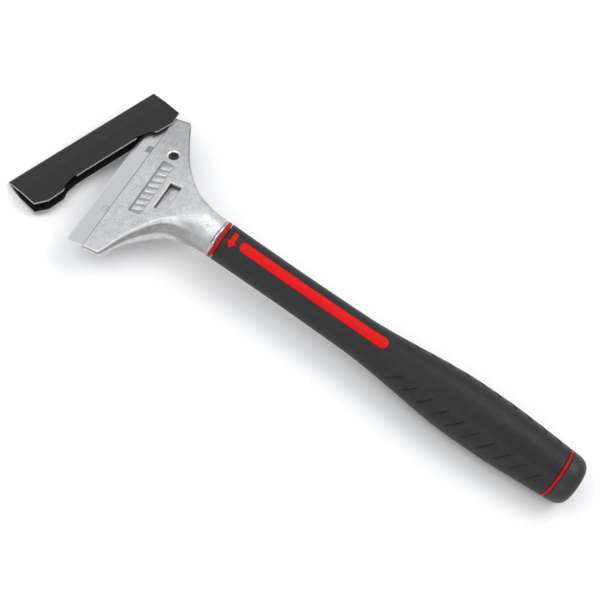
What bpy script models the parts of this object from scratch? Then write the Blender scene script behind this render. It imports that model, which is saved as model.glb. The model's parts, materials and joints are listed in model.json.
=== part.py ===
"""A 12 inch floor scraper: a cast head with a twist-to-lock clamp, a four inch blade and a slip-on guard.

The head is drawn in its own frame: X runs back towards the handle, Y along the lip, Z out of the flat
top face, with the origin at the middle of the lip. The handle has a frame of its own, with X along its
axis. One empty lays the whole tool down on the floor, where it rests on the grip and the guard.
"""

import math

import bmesh
import bpy
from mathutils import Matrix, Vector

MM = 0.001
GAP = 0.3 * MM
# How far a cutter reaches past the face that it starts from, right through a piece, or only just past one.
CLEAR = 2.0 * MM
FAR = 40.0 * MM
SKIM = 0.01 * MM
EDGE = 0.3 * MM

# How the tool lies on the floor.
HEAD_SLOPE = math.radians(19.6)
LIP_CENTRE = Vector((-121.875, -6.534, 21.6)) * MM

# The handle's axis, seen from the head.
BEND = math.radians(21.3)
AXIS_START = Vector((18.1, 0.0, -3.6)) * MM
CLAMPED_TWIST = math.radians(13.8)

# Blade.
BLADE_LENGTH = 101.6 * MM
BLADE_FRONT = -10.2 * MM
BLADE_BACK = 8.3 * MM
BLADE_TOP = -1.2 * MM
BLADE_BOTTOM = -2.0 * MM
BLADE_BEVEL = 1.6 * MM
BLADE_CORNER = 1.6 * MM
BLADE_EDGE_HALF_THICKNESS = 0.06 * MM
BLADE_SLOTS = (-22.6 * MM, 27.4 * MM)
BLADE_SLOT_SIZE = (5.9 * MM, 5.2 * MM)
BLADE_SLOT_CORNER = 0.8 * MM

# Head casting: one row for each station, from the lip to the neck. A row holds the station's X and Z,
# its half width, its height above and depth below that point, how square its upper and lower halves
# are (2 is an ellipse), and how far it has turned from the head's frame to the handle's.
HEAD_STATIONS = (
    (0.0, -1.6, 53.3, 1.6, 1.7, 40.0, 40.0, 0.0),
    (8.6, -1.8, 54.0, 1.8, 2.1, 40.0, 30.0, 0.0),
    (10.0, -1.9, 52.8, 1.9, 2.5, 40.0, 26.0, 0.0),
    (12.3, -2.2, 47.2, 2.2, 3.6, 30.0, 14.0, 0.0),
    (15.1, -2.6, 40.6, 2.6, 5.0, 24.0, 9.0, 0.0),
    (18.2, -3.2, 34.2, 3.2, 6.6, 18.0, 7.0, 0.0),
    (21.6, -3.9, 28.3, 3.9, 8.2, 14.0, 5.0, 0.0),
    (25.2, -4.5, 23.0, 4.5, 10.2, 10.0, 4.0, 0.0),
    (29.4, -5.5, 18.3, 5.5, 12.0, 7.0, 3.4, 0.05),
    (34.0, -7.6, 15.1, 7.6, 12.8, 4.6, 3.0, 0.2),
    (39.2, -10.6, 13.0, 9.9, 13.0, 3.2, 2.6, 0.45),
    (44.4, -13.6, 11.7, 11.2, 12.2, 2.4, 2.2, 0.75),
    (49.0, -15.7, 11.2, 11.2, 11.4, 2.0, 2.0, 1.0),
    (52.85, -17.2, 11.2, 11.2, 11.2, 2.0, 2.0, 1.0),
)
SECTION_POINTS = 40
# The casting and its cover aren't quite in line with the neck: X, and how far the middle lies towards +Y.
HEAD_SHIFT = ((0.0, 1.4), (10.0, 1.4), (16.0, 2.6), (26.0, 2.4), (40.0, 0.0), (60.0, 0.0))
TOP_WALL = 2.0 * MM
LIP_THICKNESS = 0.9 * MM
SLOT_HALF_WIDTH = 51.1 * MM
SLOT_DEPTHS = (-2.0 * MM, 8.6 * MM)
SLOT_BOTTOM = -2.5 * MM

# The recessed panel and the window in the top face, and the hole for the guide screw.
PANEL = ((9.4, -18.5), (17.0, 22.5))
PANEL_DEPTH = 0.45 * MM
WINDOW = ((20.5, -10.3), (27.8, 10.3))
WINDOW_DEPTH = 2.9 * MM
GUIDE_HOLE = Vector((12.6, 28.7, 0.0)) * MM
GUIDE_BORE_RADIUS = 3.1 * MM
GUIDE_BORE_DEPTH = 1.35 * MM
GUIDE_CHAMFER = 0.45 * MM
GUIDE_SHANK_BORE = 1.8 * MM

# Clamp jaw, and the room that it moves in. It moves one thread pitch for each turn of the handle. The pad
# is the slider that shows in the window, shorter and narrower than the window itself.
JAW_HALF_OUTLINE = ((0.6, 50.4), (5.6, 50.4), (10.0, 40.0), (16.0, 26.0), (18.5, 9.8))
ROOM_HALF_OUTLINE = ((-2.0, 51.0), (7.2, 51.0), (11.6, 40.6), (17.6, 26.8), (20.1, 10.4), (33.5, 10.4))
ROOM_BOTTOM = -6.2 * MM
MOUTH_HALF_OUTLINE = ((-2.0, 51.0), (7.2, 51.0), (10.9, 42.0), (10.9, 0.5))
MOUTH_TOP = -3.0 * MM
BOSS_ROOM = ((19.5 * MM, 37.5 * MM), 7.6 * MM)
JAW_TOP = -2.3 * MM
JAW_BOTTOM = -3.6 * MM
STEM = ((14.0 * MM, 31.0 * MM), 9.8 * MM)
STEM_HEIGHTS = (-4.9 * MM, -3.1 * MM)
PAD = ((22.5 * MM, 27.2 * MM), (-9.7 * MM, 7.6 * MM))
PAD_TOP = -2.4 * MM
BOSS_STATIONS = (10.0 * MM, 17.0 * MM)
BOSS_HEIGHTS = (-5.6 * MM, 5.0 * MM)
BOSS_HALF_WIDTH = 7.0 * MM
THREAD_STATIONS = (9.5 * MM, 25.0 * MM)
GUIDE_SLOT = (-4.1 * MM, 2.8 * MM)
GUIDE_SLOT_HALF_WIDTH = 2.6 * MM

# Cover plate under the head: the X and half width of its stations, and the X and Z where it bends.
COVER_STATIONS = ((10.6, 33.0), (14.0, 33.0), (22.0, 20.5), (30.0, 13.2), (37.6, 8.6))
COVER_BEND = (14.0, -6.6)
COVER_FRONT_SLOPE = 0.26
COVER_SLOPE = 0.656
COVER_THICKNESS = 1.4 * MM
COVER_SCREWS = ((20.5, 15.0), (29.6, 10.2))

# Screws: head radius, head height, shank radius, shank length and socket radius.
COVER_SCREW_SIZE = (2.5 * MM, 1.4 * MM, 1.2 * MM, 6.0 * MM, 1.1 * MM)
GUIDE_SCREW_SIZE = (2.75 * MM, 0.85 * MM, 1.5 * MM, 4.9 * MM, 1.25 * MM)
SCREW_EDGE = 0.3 * MM
SCREW_POINT = 0.5 * MM
SCREW_HOLE_DEPTH = 6.6 * MM
SLEEVE_STATIONS = (2.3 * MM, 4.2 * MM)
SLEEVE_RADIUS = 2.3 * MM
SLEEVE_CLEARANCE = 0.15 * MM

# Stations along the handle's axis, from the start of the axis.
COLLAR = (37.6 * MM, 39.1 * MM)
CORE_FRONT = 39.4 * MM
FRONT_RING_END = 41.8 * MM
REAR_RING_START = 265.3 * MM
CORE_END = 267.2 * MM
CAP_END = 279.3 * MM
ROD = (11.6 * MM, 78.0 * MM)
ROD_RADIUS = 4.0 * MM
THREAD_RADIUS = 3.0 * MM
THREAD_END = 21.2 * MM
CLIP_GROOVE = (22.4 * MM, 23.4 * MM)
CLIP_GROOVE_RADIUS = 3.2 * MM
CLIP = (22.6 * MM, 23.2 * MM)
CLIP_RADII = (3.4 * MM, 5.9 * MM)
CLIP_MOUTH_HALF_WIDTH = 2.2 * MM
BUSH = (23.6 * MM, 35.4 * MM)
BUSH_RADIUS = 6.2 * MM
BUSH_BORE_START = 18.0 * MM
WASHER = (36.1 * MM, 37.0 * MM)
WASHER_RADII = (5.0 * MM, 8.2 * MM)
WASHER_BORE = 8.6 * MM
NECK_BORE_END = 45.0 * MM
PIN_STATION = 58.0 * MM
PIN_RADIUS = 1.5 * MM
PIN_HALF_LENGTH = 8.3 * MM
NECK_RADIUS = 11.2 * MM
REAR_RING_RADIUS = 15.4 * MM
CORE_SOCKET_START = 251.7 * MM
CORE_SOCKET_RADIUS = 7.9 * MM
CORE_HOLE_RADIUS = 2.5 * MM
CAP_PLUG_START = 252.2 * MM
CAP_PLUG_RADIUS = 7.6 * MM
CAP_DOME = ((271.5, 15.2), (274.8, 14.5), (277.2, 13.1), (278.7, 11.0))
CAP_FLAT_RADIUS = 8.6 * MM

# The outside of the grip: station and radius. The core follows it, a rubber thickness deeper.
GRIP_PROFILE = (
    (42.1, 11.2), (60.0, 11.1), (80.0, 11.05), (100.0, 11.15), (118.0, 11.4), (134.0, 11.7),
    (146.0, 12.4), (156.0, 13.35), (166.0, 14.4), (176.0, 15.5), (187.0, 16.5), (198.0, 17.3),
    (210.0, 17.7), (222.0, 17.7), (234.0, 17.25), (246.0, 16.6), (256.0, 16.0), (265.0, 15.5),
)
RUBBER = 2.4 * MM
STRIPE = (51.4 * MM, 148.6 * MM)
STRIPE_WIDTH = 6.4 * MM
STRIPE_BASE_RADIUS = 7.6 * MM
ARROW_STATION = 46.8 * MM
ARROW = ((0.0, -5.4), (3.1, -1.2), (1.5, -1.2), (1.5, 5.0), (-1.5, 5.0), (-1.5, -1.2), (-3.1, -1.2))
ARROW_BASE_RADIUS = 7.5 * MM
ARROW_CUT_RADIUS = 14.0 * MM
WRAP_RADIUS = 11.0 * MM

# Blade guard: how far it has swung from the blade, about a point beside its far end.
GUARD_SWING = math.radians(-21.0)
GUARD_PIVOT = Vector((19.9, 75.4, -1.6)) * MM
GUARD_FRONT = -13.9 * MM
GUARD_WALL = 1.1
# The section of each wall's outer face, and of the fold's inner face: depth from the fold, and height.
GUARD_TOP = ((0.0, -0.15), (0.8, 0.4), (10.4, 1.45), (27.0, 1.6))
GUARD_BOTTOM = ((0.0, -1.1), (0.8, -1.75), (9.8, -5.7), (27.0, -7.2))
GUARD_INNER_NOSE = ((1.8, -0.75), (1.8, -1.25))
# Half of the rear edge: distance from the middle of the length, and depth.
GUARD_EDGE = ((0.0, 21.2), (22.0, 21.2), (30.0, 22.6), (33.5, 24.9), (44.5, 25.4), (52.0, 22.0))

ROUND = 32
SMOOTH_ANGLE = math.radians(32.0)


def clear_scene():
    for obj in list(bpy.data.objects):
        bpy.data.objects.remove(obj, do_unlink=True)


def material(name, colour, roughness, metallic):
    made = bpy.data.materials.new(name)
    made.use_nodes = True
    shader = made.node_tree.nodes["Principled BSDF"]
    shader.inputs["Base Color"].default_value = (*colour, 1.0)
    shader.inputs["Roughness"].default_value = roughness
    shader.inputs["Metallic"].default_value = metallic
    made.diffuse_color = (*colour, 1.0)
    return made


def empty(name, parent=None, location=(0.0, 0.0, 0.0), rotation=(0.0, 0.0, 0.0)):
    made = bpy.data.objects.new(name, None)
    made.location = location
    made.rotation_euler = rotation
    made.parent = parent
    bpy.context.collection.objects.link(made)
    return made


def solid(name, mesh_builder, parent, finish=None):
    """An object from a bmesh. One without a finish is a cutter or a shape that another object takes in."""
    bmesh.ops.recalc_face_normals(mesh_builder, faces=mesh_builder.faces)
    mesh = bpy.data.meshes.new(name)
    mesh_builder.to_mesh(mesh)
    mesh_builder.free()
    made = bpy.data.objects.new(name, mesh)
    made.parent = parent
    bpy.context.collection.objects.link(made)
    if finish is None:
        made.hide_render = True
        made.display_type = "WIRE"
    else:
        mesh.materials.append(finish)
        mesh.shade_smooth()
        mesh.set_sharp_from_angle(angle=SMOOTH_ANGLE)
    return made


def boolean(target, other, operation="DIFFERENCE"):
    modifier = target.modifiers.new(other.name, "BOOLEAN")
    modifier.operation = operation
    modifier.solver = "EXACT"
    modifier.object = other


def loft(rings, closed_ends=True):
    """Skins a row of rings of points. Without closed ends, the last ring joins up with the first."""
    made = bmesh.new()
    rows = [[made.verts.new(point) for point in ring] for ring in rings]
    pairs = list(zip(rows, rows[1:]))
    if not closed_ends:
        pairs.append((rows[-1], rows[0]))
    for near, far in pairs:
        for i in range(len(near)):
            j = (i + 1) % len(near)
            made.faces.new((near[i], near[j], far[j], far[i]))
    if closed_ends:
        made.faces.new(rows[0])
        made.faces.new(rows[-1])
    return made


def prism(outline, low, high):
    """A flat outline of XY points, in metres, raised from one height to another."""
    return loft([[(x, y, z) for x, y in outline] for z in (low, high)])


def box(low, high):
    corners = ((low[0], low[1]), (high[0], low[1]), (high[0], high[1]), (low[0], high[1]))
    return prism(corners, low[2], high[2])


def mirrored(half_outline):
    """The whole outline from its half at +Y, given front to back in millimetres."""
    half = [(x * MM, y * MM) for x, y in half_outline]
    return half + [(x, -y) for x, y in reversed(half)]


def grown(outline, amount):
    """A convex or nearly convex outline moved outwards by an amount."""
    area = sum(a[0] * b[1] - b[0] * a[1] for a, b in zip(outline, outline[1:] + outline[:1]))
    side = math.copysign(amount, area)
    moved = []
    for before, point, after in zip(outline[-1:] + outline[:-1], outline, outline[1:] + outline[:1]):
        first = (Vector(point) - Vector(before)).normalized()
        second = (Vector(after) - Vector(point)).normalized()
        normals = (Vector((first.y, -first.x)), Vector((second.y, -second.x)))
        middle = (normals[0] + normals[1]).normalized()
        moved.append(tuple(Vector(point) + middle * side / middle.dot(normals[0])))
    return moved


def circle(radius, x=0.0, y=0.0, count=ROUND):
    turns = [2.0 * math.pi * i / count for i in range(count)]
    return [(x + radius * math.cos(a), y + radius * math.sin(a)) for a in turns]


def turned(profile, count=ROUND):
    """A solid of revolution about X. The profile is a closed loop of (station, radius) in metres."""
    rings = []
    for i in range(count):
        angle = 2.0 * math.pi * i / count
        rings.append([(s, r * math.sin(angle), r * math.cos(angle)) for s, r in profile])
    return loft(rings, closed_ends=False)


def turned_solid(profile, count=ROUND):
    """A solid of revolution about X with no bore: the profile runs from one end of the axis to the other."""
    made = bmesh.new()
    angles = [2.0 * math.pi * i / count for i in range(count)]
    rings = []
    for s, r in profile[1:-1]:
        rings.append([made.verts.new((s, r * math.sin(a), r * math.cos(a))) for a in angles])
    ends = [made.verts.new((profile[k][0], 0.0, 0.0)) for k in (0, -1)]
    for i in range(count):
        j = (i + 1) % count
        made.faces.new((ends[0], rings[0][i], rings[0][j]))
        made.faces.new((ends[1], rings[-1][j], rings[-1][i]))
        for near, far in zip(rings, rings[1:]):
            made.faces.new((near[i], far[i], far[j], near[j]))
    return made


def tube(start, end, inner, outer, chamfer=0.0, count=ROUND):
    profile = [(start, inner), (start, outer - chamfer), (start + chamfer, outer)]
    profile += [(end - chamfer, outer), (end, outer - chamfer), (end, inner)]
    if chamfer == 0.0:
        profile = [(start, inner), (start, outer), (end, outer), (end, inner)]
    return turned(profile, count)


def cylinder(start, end, radius, count=ROUND):
    return turned_solid([(start, 0.0), (start, radius), (end, radius), (end, 0.0)], count)


def head_shift(x):
    """How far the casting's middle lies towards +Y, at one place along it."""
    for (x0, shift0), (x1, shift1) in zip(HEAD_SHIFT, HEAD_SHIFT[1:]):
        if x <= x1:
            return shift0 + (shift1 - shift0) * (x - x0) / (x1 - x0)
    return HEAD_SHIFT[-1][1]


def head_section(row):
    """The points round one station of the head casting."""
    x, z, half_width, above, below, power_above, power_below, turn = row
    points = []
    for i in range(SECTION_POINTS):
        angle = 2.0 * math.pi * (i + 0.5) / SECTION_POINTS
        power = power_above if math.sin(angle) > 0.0 else power_below
        reach = above if math.sin(angle) > 0.0 else below
        scale = (abs(math.cos(angle)) ** power + abs(math.sin(angle)) ** power) ** (-1.0 / power)
        across = head_shift(x) + half_width * scale * math.cos(angle)
        height = reach * scale * math.sin(angle)
        tilt = turn * BEND
        points.append(Vector((x + height * math.sin(tilt), across, z + height * math.cos(tilt))) * MM)
    return points


def head_casting(head, handle, finish):
    casting = solid("head_casting", loft([head_section(row) for row in HEAD_STATIONS]), head, finish)
    boolean(casting, solid("cut_cover_seat", cover_shape(GAP), head))
    room = prism(mirrored(ROOM_HALF_OUTLINE), ROOM_BOTTOM, -TOP_WALL)
    boolean(casting, solid("cut_jaw_room", room, head))
    mouth = prism(mirrored(MOUTH_HALF_OUTLINE), -FAR, MOUTH_TOP)
    boolean(casting, solid("cut_jaw_mouth", mouth, head))
    front, back = SLOT_DEPTHS
    slot = box((front, -SLOT_HALF_WIDTH, SLOT_BOTTOM), (back, SLOT_HALF_WIDTH, -LIP_THICKNESS))
    boolean(casting, solid("cut_blade_slot", slot, head))
    (front, back), half_width = BOSS_ROOM
    boss_room = box((front, -half_width, -FAR), (back, half_width, -TOP_WALL - SKIM))
    boolean(casting, solid("cut_boss_room", boss_room, head))
    boolean(casting, solid("cut_neck_bore", neck_bore(), handle))
    for name, opening, depth in (("panel", PANEL, PANEL_DEPTH), ("window", WINDOW, WINDOW_DEPTH)):
        (x0, y0), (x1, y1) = opening
        cutter = box((x0 * MM, y0 * MM, -depth), (x1 * MM, y1 * MM, CLEAR))
        boolean(casting, solid(f"cut_{name}", cutter, head))
    boolean(casting, solid("cut_guide_bore", guide_bore(), head))
    cut_screw_holes(casting, "casting", head)
    return casting


def neck_bore():
    """The stepped bore in the neck, for the bush and behind it the washer."""
    step = BUSH[1] + GAP
    profile = [(BUSH_BORE_START, 0.0), (BUSH_BORE_START, BUSH_RADIUS + GAP), (step, BUSH_RADIUS + GAP)]
    profile += [(step, WASHER_BORE), (NECK_BORE_END, WASHER_BORE), (NECK_BORE_END, 0.0)]
    return turned_solid(profile)


def guide_bore():
    """The stepped hole for the guide screw, with a chamfered rim, drilled down from the top face."""
    depth = GUIDE_BORE_DEPTH
    profile = [(-CLEAR, 0.0), (-CLEAR, GUIDE_BORE_RADIUS + GUIDE_CHAMFER + CLEAR)]
    profile += [(GUIDE_CHAMFER, GUIDE_BORE_RADIUS), (depth, GUIDE_BORE_RADIUS)]
    profile += [(depth, GUIDE_SHANK_BORE), (FAR, GUIDE_SHANK_BORE), (FAR, 0.0)]
    made = turned_solid(profile, 24)
    made.transform(Matrix.Translation(GUIDE_HOLE) @ Matrix.Rotation(math.radians(90.0), 4, "Y"))
    return made


def cut_screw_holes(target, name, head):
    """Drills the cover screws' holes through or into a piece."""
    radius = COVER_SCREW_SIZE[2] + GAP
    for number, (place, direction) in enumerate(cover_screw_places()):
        hole = cylinder(-SCREW_HOLE_DEPTH, SCREW_HOLE_DEPTH, radius, 12)
        hole.transform(direction)
        cutter = solid(f"cut_{name}_screw_hole_{number + 1}", hole, head)
        cutter.location = place
        boolean(target, cutter)


def cover_outer(x):
    """The height of the cover's outer face: nearly level at its front edge, then sloping to the neck."""
    bend_x, bend_z = COVER_BEND
    return bend_z + max(bend_x - x, 0.0) * COVER_FRONT_SLOPE - max(x - bend_x, 0.0) * COVER_SLOPE


def cover_shape(margin):
    """The cover plate, or with a margin the seat that it lies in, open below."""
    rings = []
    for x, half_width in COVER_STATIONS:
        top = cover_outer(x) * MM + COVER_THICKNESS + margin
        bottom = -FAR if margin else cover_outer(x) * MM
        left, right = ((head_shift(x) + side * half_width) * MM + side * margin for side in (-1.0, 1.0))
        corners = ((left, bottom), (right, bottom), (right, top), (left, top))
        rings.append([(x * MM, y, z) for y, z in corners])
    rings[0] = [(x - margin, y, z) for x, y, z in rings[0]]
    rings[-1] = [(x + margin, y, z) for x, y, z in rings[-1]]
    return loft(rings)


def cover_screw_places():
    """Where each cover screw's head meets the plate, and the turn that points X into the casting."""
    into = Matrix.Rotation(math.atan(COVER_SLOPE) - math.radians(90.0), 4, "Y")
    for x, y in COVER_SCREWS:
        for side in (-1.0, 1.0):
            yield Vector((x, head_shift(x) + side * y, cover_outer(x))) * MM, into


def base_cover(head, finish):
    cover = solid("base_cover", cover_shape(0.0), head, finish)
    cut_screw_holes(cover, "cover", head)
    hole = prism(circle(GUIDE_SHANK_BORE, GUIDE_HOLE.x, GUIDE_HOLE.y, 16), -FAR, 0.0)
    boolean(cover, solid("cut_cover_guide_hole", hole, head))
    return cover


def screw(name, size, finish, parent):
    """A screw along X, its head at -X, with a hexagon socket."""
    head_radius, head_height, shank_radius, shank_length, socket = size
    profile = [(-head_height, 0.0), (-head_height, head_radius - SCREW_EDGE)]
    profile += [(-head_height + SCREW_EDGE, head_radius), (0.0, head_radius), (0.0, shank_radius)]
    profile += [(shank_length - SCREW_POINT, shank_radius), (shank_length, shank_radius * 0.7)]
    profile += [(shank_length, 0.0)]
    made = solid(name, turned_solid(profile, 18), parent, finish)
    drive = cylinder(-head_height - CLEAR, -head_height * 0.35, socket, 6)
    drive_cutter = solid(f"cut_{name}_socket", drive, made)
    boolean(made, drive_cutter)
    return made


def cover_screws(head, finish):
    names = ("front_left", "front_right", "rear_left", "rear_right")
    for name, (place, direction) in zip(names, cover_screw_places()):
        made = screw(f"cover_screw_{name}", COVER_SCREW_SIZE, finish, head)
        outwards = direction.to_3x3() @ Vector((-1.0, 0.0, 0.0))
        made.location = place + outwards * GAP
        made.rotation_euler = direction.to_euler()


def guide_screw(head, finish):
    """It goes down through the casting and the jaw's slot, and screws into the cover plate."""
    made = screw("guide_screw", GUIDE_SCREW_SIZE, finish, head)
    made.location = GUIDE_HOLE + Vector((0.0, 0.0, -GUIDE_BORE_DEPTH + GAP))
    made.rotation_euler = (0.0, math.radians(90.0), 0.0)


def guide_sleeve(head, finish):
    """The spacer round the guide screw that the jaw's slot slides along."""
    bore = GUIDE_SCREW_SIZE[2] + SLEEVE_CLEARANCE
    sleeve = tube(*SLEEVE_STATIONS, bore, SLEEVE_RADIUS, count=18)
    made = solid("guide_sleeve", sleeve, head, finish)
    made.location = GUIDE_HOLE
    made.rotation_euler = (0.0, math.radians(90.0), 0.0)


def clamp_jaw(head, handle, finish):
    """The jaw under the blade, its stem and the pad that shows in the window, and the threaded boss."""
    jaw = solid("clamp_jaw", prism(mirrored(JAW_HALF_OUTLINE), JAW_BOTTOM, JAW_TOP), head, finish)
    (front, back), half_width = STEM
    stem = box((front, -half_width, STEM_HEIGHTS[0]), (back, half_width, STEM_HEIGHTS[1]))
    boolean(jaw, solid("add_jaw_stem", stem, head), "UNION")
    (front, back), (left, right) = PAD
    pad = box((front, left, STEM_HEIGHTS[1] - GAP), (back, right, PAD_TOP))
    boolean(jaw, solid("add_jaw_pad", pad, head), "UNION")
    boss = box(
        (BOSS_STATIONS[0], -BOSS_HALF_WIDTH, BOSS_HEIGHTS[0]),
        (BOSS_STATIONS[1], BOSS_HALF_WIDTH, BOSS_HEIGHTS[1]),
    )
    boolean(jaw, solid("add_jaw_boss", boss, handle), "UNION")
    thread = cylinder(*THREAD_STATIONS, THREAD_RADIUS + GAP, 24)
    boolean(jaw, solid("cut_jaw_thread", thread, handle))
    half = GUIDE_SLOT_HALF_WIDTH
    places = ((GUIDE_SLOT[0], -half), (GUIDE_SLOT[1], -half), (GUIDE_SLOT[1], half), (GUIDE_SLOT[0], half))
    corners = [(GUIDE_HOLE.x + x, GUIDE_HOLE.y + y) for x, y in places]
    slot = prism(rounded(corners, half - SKIM, 8), -FAR, 0.0)
    boolean(jaw, solid("cut_guide_slot", slot, head))
    return jaw


def blade(head, finish):
    """A double-edged blade with rounded corners, two slots and an edge ground from both faces."""
    middle = (BLADE_TOP + BLADE_BOTTOM) / 2.0
    half_length = BLADE_LENGTH / 2.0
    corners = [
        (BLADE_FRONT, -half_length), (BLADE_BACK, -half_length),
        (BLADE_BACK, half_length), (BLADE_FRONT, half_length),
    ]
    outline = rounded(corners, BLADE_CORNER, 4)
    face = grown(outline, -2.0 * SKIM)
    face = [(min(max(x, BLADE_FRONT + BLADE_BEVEL), BLADE_BACK - BLADE_BEVEL), y) for x, y in face]
    thin = BLADE_EDGE_HALF_THICKNESS
    levels = ((face, BLADE_BOTTOM), (outline, middle - thin), (outline, middle + thin), (face, BLADE_TOP))
    made = loft([[(x, y, z) for x, y in points] for points, z in levels])
    bmesh.ops.dissolve_degenerate(made, dist=1e-6, edges=made.edges)
    made = solid("blade", made, head, finish)
    centre = (BLADE_FRONT + BLADE_BACK) / 2.0
    half_width, half_length = (size / 2.0 for size in BLADE_SLOT_SIZE)
    for name, y in zip(("left", "right"), BLADE_SLOTS):
        slot = [
            (centre + i * half_width, y + j * half_length) for i, j in ((-1, -1), (1, -1), (1, 1), (-1, 1))
        ]
        cutter = prism(rounded(slot, BLADE_SLOT_CORNER, 3), -FAR, CLEAR)
        boolean(made, solid(f"cut_blade_slot_{name}", cutter, head))
    return made


def rounded(corners, radius, steps):
    """An outline with each of its corners rounded by an arc of short steps."""
    points = []
    for before, corner, after in zip(corners[-1:] + corners[:-1], corners, corners[1:] + corners[:1]):
        corner = Vector(corner)
        arms = [(Vector(other) - corner).normalized() for other in (before, after)]
        half = arms[0].angle(arms[1]) / 2.0
        centre = corner + (arms[0] + arms[1]).normalized() * radius / math.sin(half)
        start = corner + arms[0] * radius / math.tan(half) - centre
        turn = math.pi - 2.0 * half
        sign = math.copysign(1.0, start.x * arms[0].y - start.y * arms[0].x)
        for i in range(steps + 1):
            angle = -sign * turn * i / steps
            spun = Matrix.Rotation(angle, 2) @ start
            points.append(tuple(centre + spun))
    return points


def guard_depth(distance):
    """How deep the guard is, at a distance from the middle of its length."""
    for (y0, depth0), (y1, depth1) in zip(GUARD_EDGE, GUARD_EDGE[1:]):
        if distance <= y1:
            return depth0 + (depth1 - depth0) * (distance - y0) / (y1 - y0)
    return GUARD_EDGE[-1][1]


def cut_to_depth(outer, depth):
    """One wall's section line, cut off where the guard's rear edge comes."""
    kept = [point for point in outer if point[0] < depth]
    (x0, z0), (x1, z1) = outer[len(kept) - 1], outer[len(kept)]
    return kept + [(depth, z0 + (z1 - z0) * (depth - x0) / (x1 - x0))]


def guard_section(y):
    """The folded section at one place along the guard, as a closed loop."""
    depth = guard_depth(abs(y))
    top = cut_to_depth(GUARD_TOP, depth)
    bottom = cut_to_depth(GUARD_BOTTOM, depth)
    inner_top = [GUARD_INNER_NOSE[0]] + [(x, z - GUARD_WALL) for x, z in top[2:]]
    inner_bottom = [GUARD_INNER_NOSE[1]] + [(x, z + GUARD_WALL) for x, z in bottom[2:]]
    loop = top[::-1] + bottom + inner_bottom[::-1] + inner_top
    return [(GUARD_FRONT + x * MM, y * MM, z * MM) for x, z in loop]


def blade_guard(head, finish):
    """The guard is drawn on the blade, then its frame swings it round to where it hangs."""
    frame = empty("guard_frame", head, GUARD_PIVOT, (0.0, 0.0, GUARD_SWING))
    places = sorted({sign * y for y, _ in GUARD_EDGE for sign in (1.0, -1.0)})
    made = loft([guard_section(y) for y in places])
    made.transform(Matrix.Translation(-GUARD_PIVOT))
    return solid("blade_guard", made, frame, finish)


def grip_radius(station):
    points = [(s * MM, r * MM) for s, r in GRIP_PROFILE]
    for (s0, r0), (s1, r1) in zip(points, points[1:]):
        if station <= s1:
            return r0 + (r1 - r0) * (station - s0) / (s1 - s0)
    return points[-1][1]


def stripe_outline(margin):
    half = STRIPE_WIDTH / 2.0 + margin
    points = []
    for start, station in ((-90.0, STRIPE[1] - STRIPE_WIDTH / 2.0), (90.0, STRIPE[0] + STRIPE_WIDTH / 2.0)):
        for i in range(9):
            angle = math.radians(start + 22.5 * i)
            points.append((station + half * math.cos(angle), half * math.sin(angle)))
    return points


def arrow_loft(margin, radius):
    """An arrow wrapped round the handle, pointing towards -Y, as a block from the core to a radius."""
    points = grown([(x * MM, y * MM) for x, y in ARROW], margin)
    rings = []
    for r in (ARROW_BASE_RADIUS, radius):
        ring = []
        for x, along in points:
            angle = along / WRAP_RADIUS
            ring.append((ARROW_STATION + x, r * math.sin(angle), r * math.cos(angle)))
        rings.append(ring)
    return loft(rings)


def grip_overmould(twist, finish):
    outer = [(s * MM, r * MM) for s, r in GRIP_PROFILE]
    inner = [(s, r - RUBBER + GAP) for s, r in outer]
    made = solid("grip_overmould", turned(outer + inner[::-1]), twist, finish)
    stripe = prism(stripe_outline(GAP), 0.0, FAR)
    boolean(made, solid("cut_stripe_opening", stripe, twist))
    boolean(made, solid("cut_arrow_opening", arrow_loft(GAP, ARROW_CUT_RADIUS), twist))
    return made


def handle_core(twist, finish):
    """The stiff core, with the front ring, stripe, arrow and rear ring standing up through the rubber."""
    outer = [(s * MM, r * MM - RUBBER) for s, r in GRIP_PROFILE]
    profile = [(CORE_FRONT, ROD_RADIUS + GAP), (CORE_FRONT, NECK_RADIUS - EDGE)]
    profile += [(CORE_FRONT + EDGE, NECK_RADIUS), (FRONT_RING_END, NECK_RADIUS)]
    profile += [(FRONT_RING_END, outer[0][1]), *outer[1:-1], (REAR_RING_START, outer[-1][1])]
    profile += [(REAR_RING_START, REAR_RING_RADIUS), (CORE_END, REAR_RING_RADIUS)]
    profile += [(CORE_END, CORE_SOCKET_RADIUS), (CORE_SOCKET_START, CORE_SOCKET_RADIUS)]
    rod_end = ROD[1] + 3.0 * GAP
    profile += [(CORE_SOCKET_START, CORE_HOLE_RADIUS), (rod_end, CORE_HOLE_RADIUS)]
    profile += [(rod_end, ROD_RADIUS + GAP)]
    core = solid("handle_core", turned(profile), twist, finish)
    skin = [(s * MM, grip_radius(s * MM) - 10.0 * SKIM) for s, _ in GRIP_PROFILE[:9]]
    skin = [(skin[0][0], 0.0), *skin, (skin[-1][0], 0.0)]
    limit = solid("limit_of_stripe", turned_solid(skin), twist)
    stripe = solid("add_stripe", prism(stripe_outline(0.0), STRIPE_BASE_RADIUS, FAR), twist)
    boolean(stripe, limit, "INTERSECT")
    boolean(core, stripe, "UNION")
    boolean(core, solid("add_arrow", arrow_loft(0.0, NECK_RADIUS), twist), "UNION")
    boolean(core, solid("cut_core_pin_hole", pin_hole(), twist))
    return core


def pin_hole():
    hole = cylinder(-FAR, FAR, PIN_RADIUS + GAP, 12)
    hole.transform(Matrix.Translation((PIN_STATION, 0.0, 0.0)) @ Matrix.Rotation(math.pi / 2.0, 4, "Z"))
    return hole


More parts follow.
